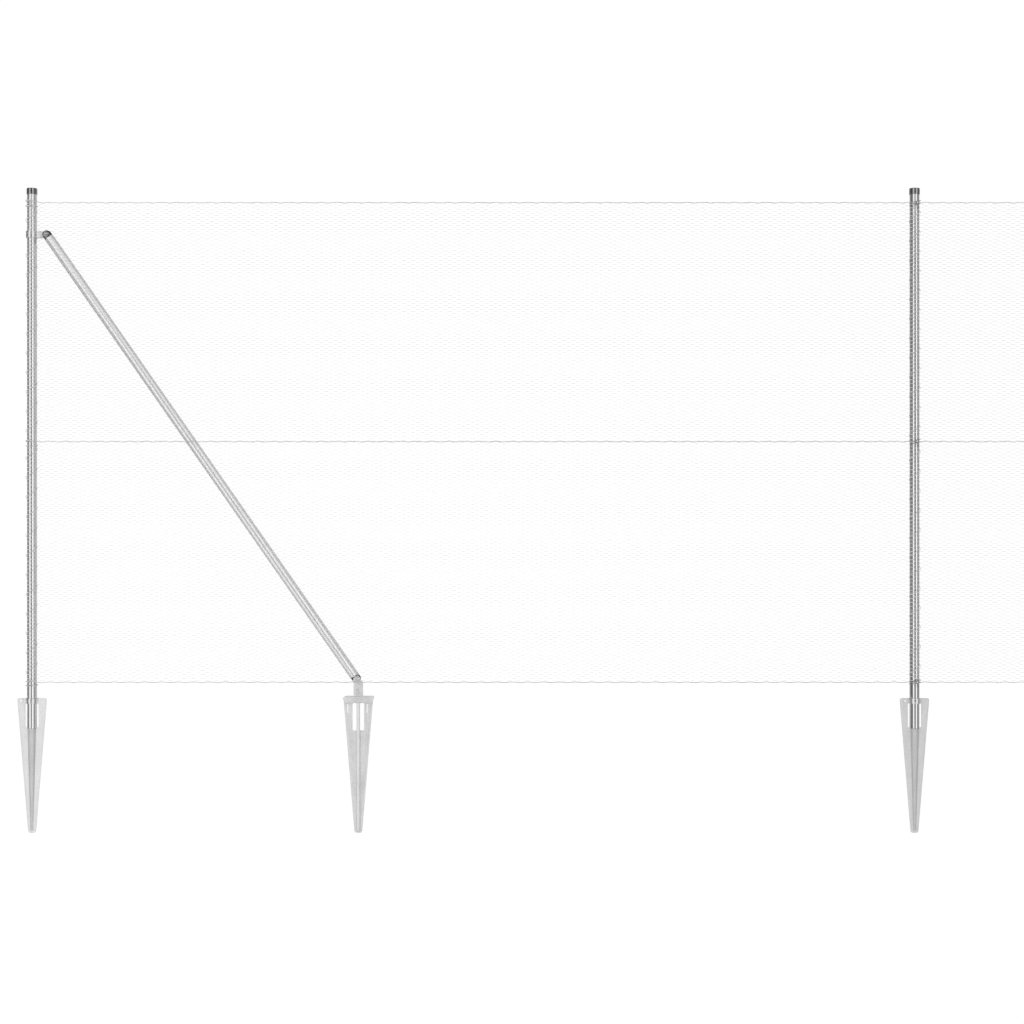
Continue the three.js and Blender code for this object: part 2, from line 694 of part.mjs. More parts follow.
add("foot_plate_back", footPlateGeometry(), "matt_zinc", BRACE_ANCHOR_X)
  .position.z = -earInnerFace - STRAP_THICKNESS / 2;
add("foot_bolt", boltGeometry(JOINT_BOLT, earOuterFace), "bolt_zinc", braceFoot.x, braceFoot.y);
add("foot_nut", nutGeometry(JOINT_BOLT, earOuterFace), "bolt_zinc", braceFoot.x, braceFoot.y);
add("foot_rivet_upper", rivetGeometry(earOuterFace), "bolt_zinc", BRACE_ANCHOR_X, UPPER_RIVET_HEIGHT);
add("foot_rivet_lower", rivetGeometry(earOuterFace), "bolt_zinc", BRACE_ANCHOR_X, LOWER_RIVET_HEIGHT);
add("anchor_brace", braceAnchorGeometry(), "matt_zinc", BRACE_ANCHOR_X);

// Netting and the wires that carry and bind it
add("netting", nettingGeometry(), "netting_zinc");
for (const [place, y] of Object.entries(lineWireHeights)) {
  add(`line_wire_${place}`, lineWireGeometry(), "wire_zinc", 0, y);
  add(`tie_wire_${place}`, tieWireGeometry(), "wire_zinc", POST_SPACING, y).rotation.z = TIE_SLANT;
}
for (const [side, runs] of Object.entries(lacingRuns)) {
  for (const [place, run] of Object.entries(runs)) {
    add(`lacing_${side}_${place}`, lacingGeometry(run), "wire_zinc", posts[side], run.start);
  }
}

// The frame: centre of the overall box on the floor below the collars and the clamp
const fenceStart = -WING_TOP_HALF_WIDTH;
fence.position.set(
  -(fenceStart + fenceEnd) / 2,
  -(capTop - SPIKE_LENGTH) / 2,
  Math.max(collarRadius, clampRadius),
);

const part = new THREE.Group();
part.add(fence);

export default part;
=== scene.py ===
"""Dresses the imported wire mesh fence: tubes, pressed anchors, woven netting, line wires and lacing.

The fence lies on its back. +X runs along it, +Y is its upward side when it stands, and +Z points out
of the face that carries the netting. Sizes below are in millimetres, measured from the foot of the
left post on its axis, and are turned into the frame's metres in one place, the Ground class.
"""

import logging
import math
from collections.abc import Iterator
from contextlib import contextmanager
from dataclasses import dataclass
from enum import Enum

import bpy
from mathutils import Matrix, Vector

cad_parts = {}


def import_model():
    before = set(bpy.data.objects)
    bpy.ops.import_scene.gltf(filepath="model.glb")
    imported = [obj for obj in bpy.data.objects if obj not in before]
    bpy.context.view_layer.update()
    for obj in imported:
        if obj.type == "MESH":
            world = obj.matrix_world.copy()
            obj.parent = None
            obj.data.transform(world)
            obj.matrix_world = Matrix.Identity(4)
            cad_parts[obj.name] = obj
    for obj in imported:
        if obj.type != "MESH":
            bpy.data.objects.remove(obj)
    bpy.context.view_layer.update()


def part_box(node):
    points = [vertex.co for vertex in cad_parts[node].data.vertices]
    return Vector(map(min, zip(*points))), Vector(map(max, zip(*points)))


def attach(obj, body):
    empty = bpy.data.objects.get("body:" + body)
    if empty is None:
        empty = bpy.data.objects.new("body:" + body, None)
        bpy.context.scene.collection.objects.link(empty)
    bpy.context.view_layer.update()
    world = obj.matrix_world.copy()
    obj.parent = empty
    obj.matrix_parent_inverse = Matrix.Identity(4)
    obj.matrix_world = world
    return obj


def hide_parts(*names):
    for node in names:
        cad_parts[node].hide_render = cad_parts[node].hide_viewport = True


MM = 0.001
UP = Vector((0, 1, 0))
OUT = Vector((0, 0, 1))
BODY = "root"
PICTURE_MIDDLE = (-0.0278, -0.0046)

Piece = bpy.types.Object
Tree = bpy.types.NodeTree
Inputs = dict[str | int, object]
Outline = list[tuple[float, float]]
Corners = list[tuple[float, float, float]]
Levels = tuple[tuple[float, float], ...]

log = logging.getLogger("fence")


class Side(Enum):
    """The two posts."""

    LEFT = "left"
    RIGHT = "right"


class Level(Enum):
    """The three heights at which line wires run."""

    TOP = "top"
    MIDDLE = "middle"
    BOTTOM = "bottom"


class Slot(Enum):
    """Names of the material slots."""

    POST = "post_zinc"
    CAP = "cap_steel"
    ANCHOR = "anchor_zinc"
    BOLT = "bolt_zinc"
    NETTING = "netting_wire"
    WIRE = "line_wire"


@dataclass(frozen=True)
class Joints:
    """Places and sizes that several pieces share, in millimetres.

    Attributes:
        brace_top: the brace's upper bolt.
        brace_foot: the brace's lower bolt.
        anchor_x: the brace anchor's axis.
        rivets: heights of the two rivets above the brace anchor.
        rivet_hole: radius of their holes.
        bolt_hole: radius of the brace bolts' holes.
        grip: how far the outer faces of ears and straps lie from the middle plane.
        anchor_bolt: an anchor bolt's place from the foot of its post's axis.
        tube_radius: outer radius of the posts and the brace.
        tube_wall: wall of the posts and the brace.
    """

    brace_top: tuple[float, float] = (50.0, 1648.0)
    brace_foot: tuple[float, float] = (1085.0, 164.0)
    anchor_x: float = 1090.0
    rivets: tuple[float, float] = (127.0, 115.0)
    rivet_hole: float = 2.85
    bolt_hole: float = 5.35
    grip: float = 7.3
    anchor_bolt: tuple[float, float] = (-33.5, 91.5)
    tube_radius: float = 16.0
    tube_wall: float = 1.25

    @property
    def lean(self) -> float:
        """Gives the brace's lean from upright, in degrees."""
        along = Vector(self.brace_foot) - Vector(self.brace_top)
        return math.degrees(math.atan2(along.x, -along.y))


JOINTS = Joints()


@dataclass(frozen=True)
class Ground:
    """Where the fence's own millimetres lie in the frame.

    Attributes:
        origin: foot of the left post's axis, in metres.
        spacing: distance between the posts' axes, in millimetres.
    """

    origin: Vector
    spacing: float

    @classmethod
    def from_frame(cls) -> "Ground":
        """Reads the left post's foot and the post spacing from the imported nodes.

        Returns:
            The fence's place.
        """
        low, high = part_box("post_left")
        right_low, right_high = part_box("post_right")
        origin = Vector(((low.x + high.x) / 2, low.y, (low.z + high.z) / 2))
        spacing = ((right_low.x + right_high.x) - (low.x + high.x)) / 2 / MM
        return cls(origin, spacing)

    def at(self, x: float, y: float, z: float = 0.0) -> Vector:
        """Turns a place in millimetres into a place in the frame.

        Args:
            x: along the fence.
            y: up the post.
            z: out of the netted face.

        Returns:
            The place in metres.
        """
        return self.origin + Vector((x, y, z)) * MM

    def post_x(self, side: Side) -> float:
        """Gives the X of a post's axis in millimetres."""
        return 0.0 if side is Side.LEFT else self.spacing


def deselect() -> None:
    """Leaves object mode with nothing selected."""
    if bpy.context.mode != "OBJECT":
        bpy.ops.object.mode_set(mode="OBJECT")
    bpy.ops.object.select_all(action="DESELECT")


def pick(piece: Piece) -> None:
    """Selects one object alone and makes it active.

    Args:
        piece: the mesh object.
    """
    deselect()
    piece.select_set(True)
    bpy.context.view_layer.objects.active = piece


def settle(piece: Piece) -> Piece:
    """Moves an object's place and turn into its mesh, so that the object sits at the origin.

    Args:
        piece: the mesh object.

    Returns:
        The same object.
    """
    pick(piece)
    bpy.ops.object.transform_apply(location=True, rotation=True, scale=True)
    return piece


@contextmanager
def editing(piece: Piece) -> Iterator[None]:
    """Opens a piece for editing with all of it selected, and closes it afterwards.

    Args:
        piece: the mesh object.
    """
    pick(piece)
    bpy.ops.object.mode_set(mode="EDIT")
    bpy.ops.mesh.select_all(action="SELECT")
    yield
    bpy.ops.object.mode_set(mode="OBJECT")


def apply_modifier(piece: Piece, kind: str, **settings: object) -> None:
    """Adds one modifier to a piece and applies it.

    Args:
        piece: the mesh object.
        kind: the modifier's type name.
        settings: its settings by name.
    """
    pick(piece)
    modifier = piece.modifiers.new(kind.lower(), kind)
    for name, value in settings.items():
        setattr(modifier, name, value)
    bpy.ops.object.modifier_apply(modifier=modifier.name)


def soften(piece: Piece, width: float, segments: int = 2, angle: float = 35.0) -> None:
    """Bevels the sharp edges of a piece.

    Args:
        piece: the mesh object.
        width: bevel width in millimetres.
        segments: steps across the bevel.
        angle: edges sharper than this many degrees are bevelled.
    """
    apply_modifier(
        piece,
        "BEVEL",
        width=width * MM,
        segments=segments,
        limit_method="ANGLE",
        angle_limit=math.radians(angle),
        use_clamp_overlap=True,
    )


def outward(piece: Piece) -> None:
    """Merges doubled points and turns all faces outwards.

    Args:
        piece: the mesh object.
    """
    with editing(piece):
        bpy.ops.mesh.remove_doubles(threshold=1e-6)
        bpy.ops.mesh.normals_make_consistent(inside=False)


def join(pieces: list[Piece], name: str) -> Piece:
    """Joins several mesh objects into one.

    Args:
        pieces: the objects, of which the first stays.
        name: the joined object's name.

    Returns:
        The joined object.
    """
    deselect()
    for piece in pieces:
        piece.select_set(True)
    bpy.context.view_layer.objects.active = pieces[0]
    if len(pieces) > 1:
        bpy.ops.object.join()
    pieces[0].name = name
    pieces[0].data.name = name
    return pieces[0]


def finish_piece(
    parts: list[Piece],
    name: str,
    material: bpy.types.Material,
    nodes: list[str],
    smooth: float = 35.0,
) -> None:
    """Joins the parts of a finished piece, dresses it and ties it to the frame.

    Args:
        parts: its mesh objects.
        name: the piece's name.
        material: its finish.
        nodes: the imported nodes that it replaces.
        smooth: edges flatter than this many degrees are shaded smooth.
    """
    piece = settle(join(parts, name))
    bpy.ops.object.shade_smooth_by_angle(angle=math.radians(smooth))
    piece.data.materials.clear()
    piece.data.materials.append(material)
    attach(piece, BODY)
    if nodes:
        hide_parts(*nodes)
    piece.data.calc_loop_triangles()
    log.info("%s: %d triangles", piece.name, len(piece.data.loop_triangles))


def round_bar(
    centre: Vector,
    radius: float,
    length: float,
    direction: Vector,
    sides: int = 48,
    filled: bool = True,
    tip_radius: float | None = None,
) -> Piece:
    """Adds a cylinder or a cone between two ends.

    Args:
        centre: its middle, in metres.
        radius: its radius at the start, in millimetres.
        length: its length in millimetres.
        direction: the way from its start to its end.
        sides: faces around it.
        filled: whether its ends are closed.
        tip_radius: its radius at the end, where that differs.

    Returns:
        The new object.
    """
    deselect()
    fill = "NGON" if filled else "NOTHING"
    turn = OUT.rotation_difference(direction.normalized()).to_euler()
    bpy.ops.mesh.primitive_cone_add(
        vertices=sides,
        radius1=radius * MM,
        radius2=(radius if tip_radius is None else tip_radius) * MM,
        depth=length * MM,
        end_fill_type=fill,
        location=centre,
        rotation=turn,
    )
    return settle(bpy.context.object)


def pipe(
    centre: Vector,
    radius: float,
    wall: float,
    length: float,
    direction: Vector,
    edge: float,
    sides: int = 96,
) -> Piece:
    """Makes a tube with a wall and softened rims.

    Args:
        centre: its middle, in metres.
        radius: outer radius in millimetres.
        wall: wall thickness in millimetres.
        length: its length in millimetres.
        direction: the way of its axis.
        edge: width of the bevel on its rims.
        sides: faces around it.

    Returns:
        The new object.
    """
    piece = round_bar(centre, radius, length, direction, sides, filled=False)
    outward(piece)
    apply_modifier(piece, "SOLIDIFY", thickness=wall * MM, offset=-1.0, use_even_offset=True)
    soften(piece, edge, 2, 60.0)
    return piece


def torus(
    place: Vector, ring: float, radius: float, steps: int, sides: int, turn: float = 0.0
) -> Piece:
    """Makes a ring of round wire.

    Args:
        place: its middle, in metres.
        ring: radius of the wire's middle line, in millimetres.
        radius: the wire's radius in millimetres.
        steps: steps round the ring.
        sides: faces around the wire.
        turn: turn about X from lying flat, in radians.

    Returns:
        The new object.
    """
    deselect()
    bpy.ops.mesh.primitive_torus_add(
        location=place,
        rotation=(turn, 0, 0),
        major_segments=steps,
        minor_segments=sides,
        major_radius=ring * MM,
        minor_radius=radius * MM,
    )
    return settle(bpy.context.object)


def slab(low: Vector, high: Vector, edge: float) -> Piece:
    """Makes a block between two corners with softened edges.

    Args:
        low: lowest corner in metres.
        high: highest corner in metres.
        edge: bevel width in millimetres.

    Returns:
        The new object.
    """
    deselect()
    bpy.ops.mesh.primitive_cube_add(size=1.0, location=(low + high) / 2)
    piece = bpy.context.object
    piece.scale = high - low
    settle(piece)
    soften(piece, edge)
    return piece


def rounded(corners: Corners, steps: int = 5) -> Outline:
    """Rounds the corners of a closed polygon.

    Args:
        corners: X, Y and corner radius of each corner, in millimetres; 0 keeps it sharp.
        steps: straight steps that each rounded corner has.

    Returns:
        The points of the rounded outline.
    """
    points: Outline = []
    for index, (x, y, radius) in enumerate(corners):
        corner = Vector((x, y))
        if radius == 0:
            points.append((x, y))
            continue
        before = Vector(corners[index - 1][:2])
        after = Vector(corners[(index + 1) % len(corners)][:2])
        start = corner + (before - corner).normalized() * radius
        end = corner + (after - corner).normalized() * radius
        for step in range(steps + 1):
            share = step / steps
            bow = (1 - share) ** 2 * start + 2 * share * (1 - share) * corner + share**2 * end
            points.append((bow.x, bow.y))
    return points


def mirrored(corners: Corners) -> Corners:
    """Mirrors corners in X and turns their order round."""
    return [(-x, y, radius) for x, y, radius in reversed(corners)]


def circle_outline(x: float, y: float, radius: float, steps: int = 24, first: float = 0.0) -> Outline:
    """Gives a circle's points in millimetres, from a first angle on."""
    angles = [first + 2 * math.pi * i / steps for i in range(steps)]
    return [(x + radius * math.cos(angle), y + radius * math.sin(angle)) for angle in angles]


def half_circle(x: float, y: float, radius: float, first: float, steps: int) -> Corners:
    """Gives a half circle as sharp corners in millimetres, from a first angle on."""
    angles = [first + math.pi * i / steps for i in range(steps + 1)]
    return [(x + radius * math.cos(angle), y + radius * math.sin(angle), 0.0) for angle in angles]


def trace(curve: bpy.types.Curve, places: list[tuple[float, float, float]], closed: bool) -> None:
    """Draws straight steps from place to place in a curve.

    Args:
        curve: the curve that gets the line.
        places: where its points lie, in metres.
        closed: whether the line returns to its start.
    """
    spline = curve.splines.new("POLY")
    spline.points.add(len(places) - 1)
    for point, place in zip(spline.points, places):
        point.co = (*place, 1.0)
    spline.use_cyclic_u = closed


def mesh_of(curve: bpy.types.Curve, place: Vector) -> Piece:
    """Turns a curve into a clean mesh whose zero lies at a place in the frame.

    Args:
        curve: the curve, which has its thickness.
        place: the place in metres.

    Returns:
        The new mesh object.
    """
    piece = bpy.data.objects.new(curve.name, curve)
    bpy.context.scene.collection.objects.link(piece)
    piece.location = place
    pick(piece)
    bpy.ops.object.convert(target="MESH")
    piece = settle(bpy.context.object)
    outward(piece)
    return piece


def plate(place: Vector, outlines: list[Outline], thickness: float, edge: float) -> Piece:
    """Cuts a plate from sheet: the first outline is its edge and the others are holes in it.

    Args:
        place: where the outlines' zero lies, in metres, in the middle of the thickness.
        outlines: closed outlines in millimetres.
        thickness: plate thickness in millimetres.
        edge: rounding of its edges in millimetres.

    Returns:
        The new mesh object.
    """
    curve = bpy.data.curves.new("plate", "CURVE")
    curve.dimensions = "2D"
    curve.fill_mode = "BOTH"
    curve.extrude = (thickness / 2 - edge) * MM
    curve.bevel_depth = edge * MM
    curve.bevel_resolution = 1
    curve.offset = -edge * MM
    for outline in outlines:
        trace(curve, [(x * MM, y * MM, 0.0) for x, y in outline], True)
    return mesh_of(curve, place)


def wire(points: list[Vector], diameter: float, closed: bool = False) -> Piece:
    """Bends a wire along points.

    Args:
        points: the wire's middle line, in metres.
        diameter: wire diameter in millimetres.
        closed: whether the wire joins its own start.

    Returns:
        The new mesh object.
    """
    curve = bpy.data.curves.new("wire", "CURVE")
    curve.dimensions = "3D"
    curve.bevel_depth = diameter / 2 * MM
    curve.bevel_resolution = 1
    curve.use_fill_caps = True
    trace(curve, points, closed)
    return mesh_of(curve, Vector())


def feed(tree: Tree, node: bpy.types.Node, inputs: Inputs) -> None:
    """Fills a node's inputs: sockets are linked to them and plain values are stored in them.

    Args:
        tree: the nodes.
        node: the node to fill.
        inputs: sockets and values by the input's name.
    """
    for name, value in inputs.items():
        if isinstance(value, bpy.types.NodeSocket):
            tree.links.new(value, node.inputs[name])
        else:
            node.inputs[name].default_value = value


def add_node(tree: Tree, kind: str, inputs: Inputs, **settings: object) -> bpy.types.Node:
    """Adds a shader node.

    Args:
        tree: the nodes that it joins.
        kind: its type, without the word that all shader nodes share.
        inputs: sockets and values for its inputs.
        settings: its other settings by name.

    Returns:
        The new node.
    """
    node = tree.nodes.new(f"ShaderNode{kind}")
    for name, value in settings.items():
        setattr(node, name, value)
    feed(tree, node, inputs)
    return node


@dataclass(frozen=True)
class Patina:
    """A metal finish whose colour and gloss vary with two layers of noise.

    Attributes:
        name: the material's name.
        dark: grey level of its darker places, linear.
        light: grey level of its lighter places, linear.
        metallic: how metallic it is.
        gloss: lowest and highest roughness.
        grain: how many noise cells there are in a metre, along X, Y and Z.
        speckle: spangle or pore cells in a metre.
        relief: bump height in millimetres.
        lean: turn of the grain about Z, in degrees.
        span: between which noise levels the finish goes from dark to light.
        blue: how much the dark and the light places lean to blue.
        spangle: share of the cells in the noise.
        bump: strength of the relief.
    """

    name: str
    dark: float
    light: float
    metallic: float
    gloss: tuple[float, float]
    grain: tuple[float, float, float]
    speckle: float
    relief: float
    lean: float = 0.0
    span: tuple[float, float] = (0.25, 0.75)
    blue: tuple[float, float] = (1.01, 1.005)
    spangle: float = 0.3
    bump: float = 0.5

    def make(self) -> bpy.types.Material:
        """Builds the node material.

        Returns:
            The new material.
        """
        material = bpy.data.materials.new(self.name)
        material.use_nodes = True
        tree = material.node_tree
        place = add_node(tree, "TexCoord", {}).outputs["Object"]
        lean = {"Vector": place, "Angle": math.radians(self.lean)}
        turned = add_node(tree, "VectorRotate", lean, rotation_type="Z_AXIS")
        mapping = add_node(tree, "Mapping", {"Vector": turned.outputs["Vector"], "Scale": self.grain})
        cloud = add_node(tree, "TexNoise", {
            "Vector": mapping.outputs["Vector"], "Scale": 1.0, "Detail": 5.0, "Roughness": 0.6,
        })
        cells = add_node(tree, "TexVoronoi", {"Vector": place, "Scale": self.speckle})
        grey = add_node(tree, "SeparateColor", {"Color": cells.outputs["Color"]})
        layers = {"Factor": self.spangle, "A": cloud.outputs["Fac"], "B": grey.outputs["Red"]}
        blend = add_node(tree, "Mix", layers, data_type="FLOAT").outputs["Result"]
        ramp = add_node(tree, "ValToRGB", {"Fac": blend})
        levels = (self.dark, self.light)
        for stop, share, level, blue in zip(ramp.color_ramp.elements, self.span, levels, self.blue):
            stop.position = share
            stop.color = (level, level, level * blue, 1.0)
        rough = add_node(tree, "MapRange", {
            "Value": blend, "From Min": self.span[0], "From Max": self.span[1],
            "To Min": self.gloss[0], "To Max": self.gloss[1],
        })
        depth = self.relief * MM
        bump = add_node(tree, "Bump", {"Height": blend, "Strength": self.bump, "Distance": depth})
        feed(tree, tree.nodes["Principled BSDF"], {
            "Metallic": self.metallic, "Base Color": ramp.outputs["Color"],
            "Roughness": rough.outputs["Result"], "Normal": bump.outputs["Normal"],
        })
        return material


@dataclass
class Finishes:
    """All the finishes of the fence, each made once.

    Attributes:
        brace_lean: turn of the brace's streaks, in degrees.
    """

    brace_lean: float

    def __post_init__(self) -> None:
        """Makes every material."""
        streaks = (260.0, 9.0, 260.0)
        cloudy = (28.0, 16.0, 28.0)
        post = Patina("post_zinc", 0.78, 0.88, 0.84, (0.09, 0.15), streaks, 420.0, 0.02)
        # Painted shade: the right post gets a darker copy of the same zinc, for the dimmer light on the
        # fence's right end.
        post_shaded = Patina("post_zinc_painted_shade", 0.76, 0.86, 1.0, (0.08, 0.13), streaks, 420.0, 0.02)
        self.posts = {Side.LEFT: post.make(), Side.RIGHT: post_shaded.make()}
        self.brace = Patina(
            "brace_zinc", 0.80, 0.90, 0.66, (0.22, 0.30), streaks, 420.0, 0.02, self.brace_lean
        ).make()
        self.cap = Patina("cap_steel", 0.32, 0.42, 1.0, (0.10, 0.18), cloudy, 300.0, 0.02).make()
        sheet = Patina("sheet_zinc", 0.67, 0.76, 0.25, (0.45, 0.62), cloudy, 260.0, 0.10)
        # Painted shade: the right anchor's wings get a darker copy of the same sheet zinc, for the dimmer
        # light on the right end.
        sheet_shaded = Patina("sheet_zinc_painted_shade", 0.60, 0.70, 0.25, (0.45, 0.62), cloudy, 260.0, 0.10)
        self.sheets = {Side.LEFT: sheet.make(), Side.RIGHT: sheet_shaded.make()}
        # Painted shade: the core's zinc is darker than the wings', for the shaded band down the middle of
        # the spike.
        self.core = Patina("core_zinc_painted_shade", 0.52, 0.62, 0.35, (0.45, 0.62), cloudy, 260.0, 0.10).make()
        self.strap = Patina("strap_zinc", 0.63, 0.75, 0.45, (0.35, 0.55), cloudy, 260.0, 0.08).make()
        self.rib = Patina("rib_zinc", 0.70, 0.80, 0.40, (0.40, 0.60), cloudy, 260.0, 0.08).make()
        self.collar = Patina("collar_zinc", 0.78, 0.88, 0.9, (0.22, 0.34), cloudy, 260.0, 0.05).make()
        self.bolt = Patina("bolt_zinc", 0.56, 0.70, 0.5, (0.28, 0.42), cloudy, 500.0, 0.02).make()
        self.screw = Patina("screw_zinc", 0.84, 0.94, 0.35, (0.28, 0.40), cloudy, 500.0, 0.02).make()
        # Painted shade: a dark wire for the ties and the clamp bolt, for the shadows round the tie loops
        # and the bolt head.
        self.knot = Patina("knot_wire_painted_shade", 0.30, 0.44, 0.8, (0.30, 0.45), cloudy, 300.0, 0.02).make()
        # Painted shadow: a near-black steel for the brace's end plugs and the ring under the clamp bolt,
        # for the shadow at the tube's ends and round the bolt head.
        self.plug = Patina("plug_steel_painted_shadow", 0.03, 0.07, 0.5, (0.35, 0.5), cloudy, 500.0, 0.02).make()
        self.netting = Patina("netting_zinc", 0.84, 0.95, 0.5, (0.35, 0.50), cloudy, 260.0, 0.01).make()
        self.wire = Patina("wire_zinc", 0.74, 0.86, 0.75, (0.24, 0.38), cloudy, 300.0, 0.02).make()


@dataclass(frozen=True)
class Studio:
    """Floor, sky, lamp and camera of a plain white studio.

    Attributes:
        centre: the place that the camera looks at, in metres.
        width: how much of the fence's plane the picture spans, in metres.
        distance: how far the camera stands from that plane, in metres.
        sensor: the camera's sensor width in millimetres.
        panels: brightness of the room across the fence, by degrees from straight up towards +X.
        dome: brightness of the room elsewhere, by the upward part of the direction.
        edge: how far along the fence's height the panels reach, and where the dome takes over.
        peak: the brightest level that a panel may have.
        floor_size: width of the floor in metres.
        floor_drop: how far the floor lies below the frame's zero, in metres.
        floor_glow: how much the floor shines by itself.
        floor_grey: how much light it throws back.
        backdrop: grey of the room where the camera sees it.
        lamp_size: width of the lamp in metres.
        lamp_power: its power in watts.
        lamp_place: its place from the centre, in metres.
    """

    centre: Vector
    width: float = 3.4207
    distance: float = 5.70
    sensor: float = 36.0
    panels: Levels = (
        (-180, 0.45), (-140, 0.38), (-112, 0.24), (-95, 0.14), (-72, 0.13), (-60, 0.16), (-52, 0.50),
        (-46, 1.15), (-34, 1.25), (-25, 0.92), (-15, 0.70), (-10, 0.35), (-6, 0.05), (12, 0.04),
        (16, 0.35), (20, 1.15), (36, 1.25), (44, 0.98), (51, 0.62), (62, 0.44), (72, 0.20), (88, 0.14),
        (98, 0.32), (115, 0.46), (150, 0.55), (180, 0.45),
    )
    dome: Levels = ((-1.0, 0.45), (-0.2, 0.34), (0.1, 0.34), (0.35, 0.66), (0.6, 0.90), (1.0, 0.92))
    edge: tuple[float, float] = (0.45, 0.65)
    peak: float = 2.0
    floor_size: float = 160.0
    floor_drop: float = 0.0005
    floor_glow: float = 0.94
    floor_grey: float = 0.09
    backdrop: float = 0.98
    lamp_size: float = 6.0
    lamp_power: float = 115.0
    lamp_place: tuple[float, float, float] = (-1.2, 0.0, 4.0)

    def build(self) -> None:
        """Makes the whole studio."""
        self.add_camera()
        self.add_floor()
        self.add_sky()
        self.add_lamp()
        scene = bpy.context.scene
        scene.view_settings.view_transform = "Standard"
        scene.view_settings.look = "None"

    def add_camera(self) -> None:
        """Stands the camera square to the fence, above its middle."""
        data = bpy.data.cameras.new("camera")
        data.sensor_width = self.sensor
        data.lens = self.sensor * self.distance / self.width
        data.clip_end = 100.0
        camera = bpy.data.objects.new("camera", data)
        camera.location = self.centre + Vector((0, 0, self.distance))
        bpy.context.scene.collection.objects.link(camera)
        bpy.context.scene.camera = camera

    def add_floor(self) -> None:
        """Lays a white floor that shines, so that shadows on it stay faint."""
        deselect()
        bpy.ops.mesh.primitive_plane_add(size=self.floor_size, location=(0, 0, -self.floor_drop))
        floor = bpy.context.object
        floor.name = "floor"
        material = bpy.data.materials.new("floor")
        material.use_nodes = True
        tree = material.node_tree
        tree.nodes.clear()
        glow = add_node(tree, "Emission", {"Strength": self.floor_glow})
        matt = add_node(tree, "BsdfDiffuse", {"Color": (*[self.floor_grey] * 3, 1.0)})
        both = add_node(tree, "AddShader", {0: glow.outputs[0], 1: matt.outputs[0]})
        add_node(tree, "OutputMaterial", {"Surface": both.outputs[0]})
        floor.data.materials.append(material)
        floor.visible_glossy = False

    def level_room(
        self, tree: Tree, value: bpy.types.NodeSocket, levels: Levels, unit: float
    ) -> bpy.types.NodeSocket:
        """Gives the room a brightness that follows one value of the direction.

        Args:
            tree: the world's nodes.
            value: the value to follow.
            levels: pairs of a value and the brightness there, in rising order.
            unit: what a pair's value is multiplied by to compare it with the socket's.

        Returns:
            The shader socket.
        """
        low, high = levels[0][0], levels[-1][0]
        share = add_node(tree, "MapRange", {
            "Value": value, "From Min": low * unit, "From Max": high * unit,
        })
        ramp = add_node(tree, "ValToRGB", {"Fac": share.outputs["Result"]})
        stops = ramp.color_ramp.elements
        for _ in range(len(levels) - 2):
            stops.new(1.0)
        for stop, (place, _) in zip(stops, levels):
            stop.position = (place - low) / (high - low)
        for stop, (_, level) in zip(stops, levels):
            stop.color = (*[level / self.peak] * 3, 1.0)
        room = {"Color": ramp.outputs["Color"], "Strength": self.peak}
        return add_node(tree, "Background", room).outputs[0]

    def add_sky(self) -> None:
        """Paints the room's panels, which the tubes mirror as long stripes, and its dome."""
        world = bpy.data.worlds.new("studio")
        bpy.context.scene.world = world
        world.use_nodes = True
        tree = world.node_tree
        tree.nodes.clear()
        direction = add_node(tree, "TexCoord", {}).outputs["Generated"]
        x, y, z = add_node(tree, "SeparateXYZ", {0: direction}).outputs
        angle = add_node(tree, "Math", {0: x, 1: z}, operation="ARCTAN2")
        away = add_node(tree, "Math", {0: y}, operation="ABSOLUTE")
        span = {"Value": away.outputs[0], "From Min": self.edge[0], "From Max": self.edge[1]}
        fade = add_node(tree, "MapRange", span, interpolation_type="SMOOTHSTEP")
        panels = self.level_room(tree, angle.outputs[0], self.panels, math.radians(1))
        dome = self.level_room(tree, z, self.dome, 1.0)
        room = add_node(tree, "MixShader", {"Fac": fade.outputs["Result"], 1: panels, 2: dome})
        seen = add_node(tree, "Background", {"Color": (*[self.backdrop] * 3, 1.0)})
        to_camera = add_node(tree, "LightPath", {}).outputs["Is Camera Ray"]
        choice = add_node(tree, "MixShader", {"Fac": to_camera, 1: room.outputs[0], 2: seen.outputs[0]})
        add_node(tree, "OutputWorld", {"Surface": choice.outputs[0]})

    def add_lamp(self) -> None:
        """Hangs a broad soft lamp over the braced end, which the mirroring tubes don't show."""
        data = bpy.data.lights.new("lamp", "AREA")
        data.shape = "RECTANGLE"
        data.size = self.lamp_size
        data.size_y = self.lamp_size
        data.energy = self.lamp_power
        lamp = bpy.data.objects.new("lamp", data)
        lamp.location = self.centre + Vector(self.lamp_place)
        lamp.visible_camera = False
        lamp.visible_glossy = False
        bpy.context.scene.collection.objects.link(lamp)


@dataclass
class Group:
    """What every group of pieces needs: the fence's place and its finishes."""

    ground: Ground
    finishes: Finishes


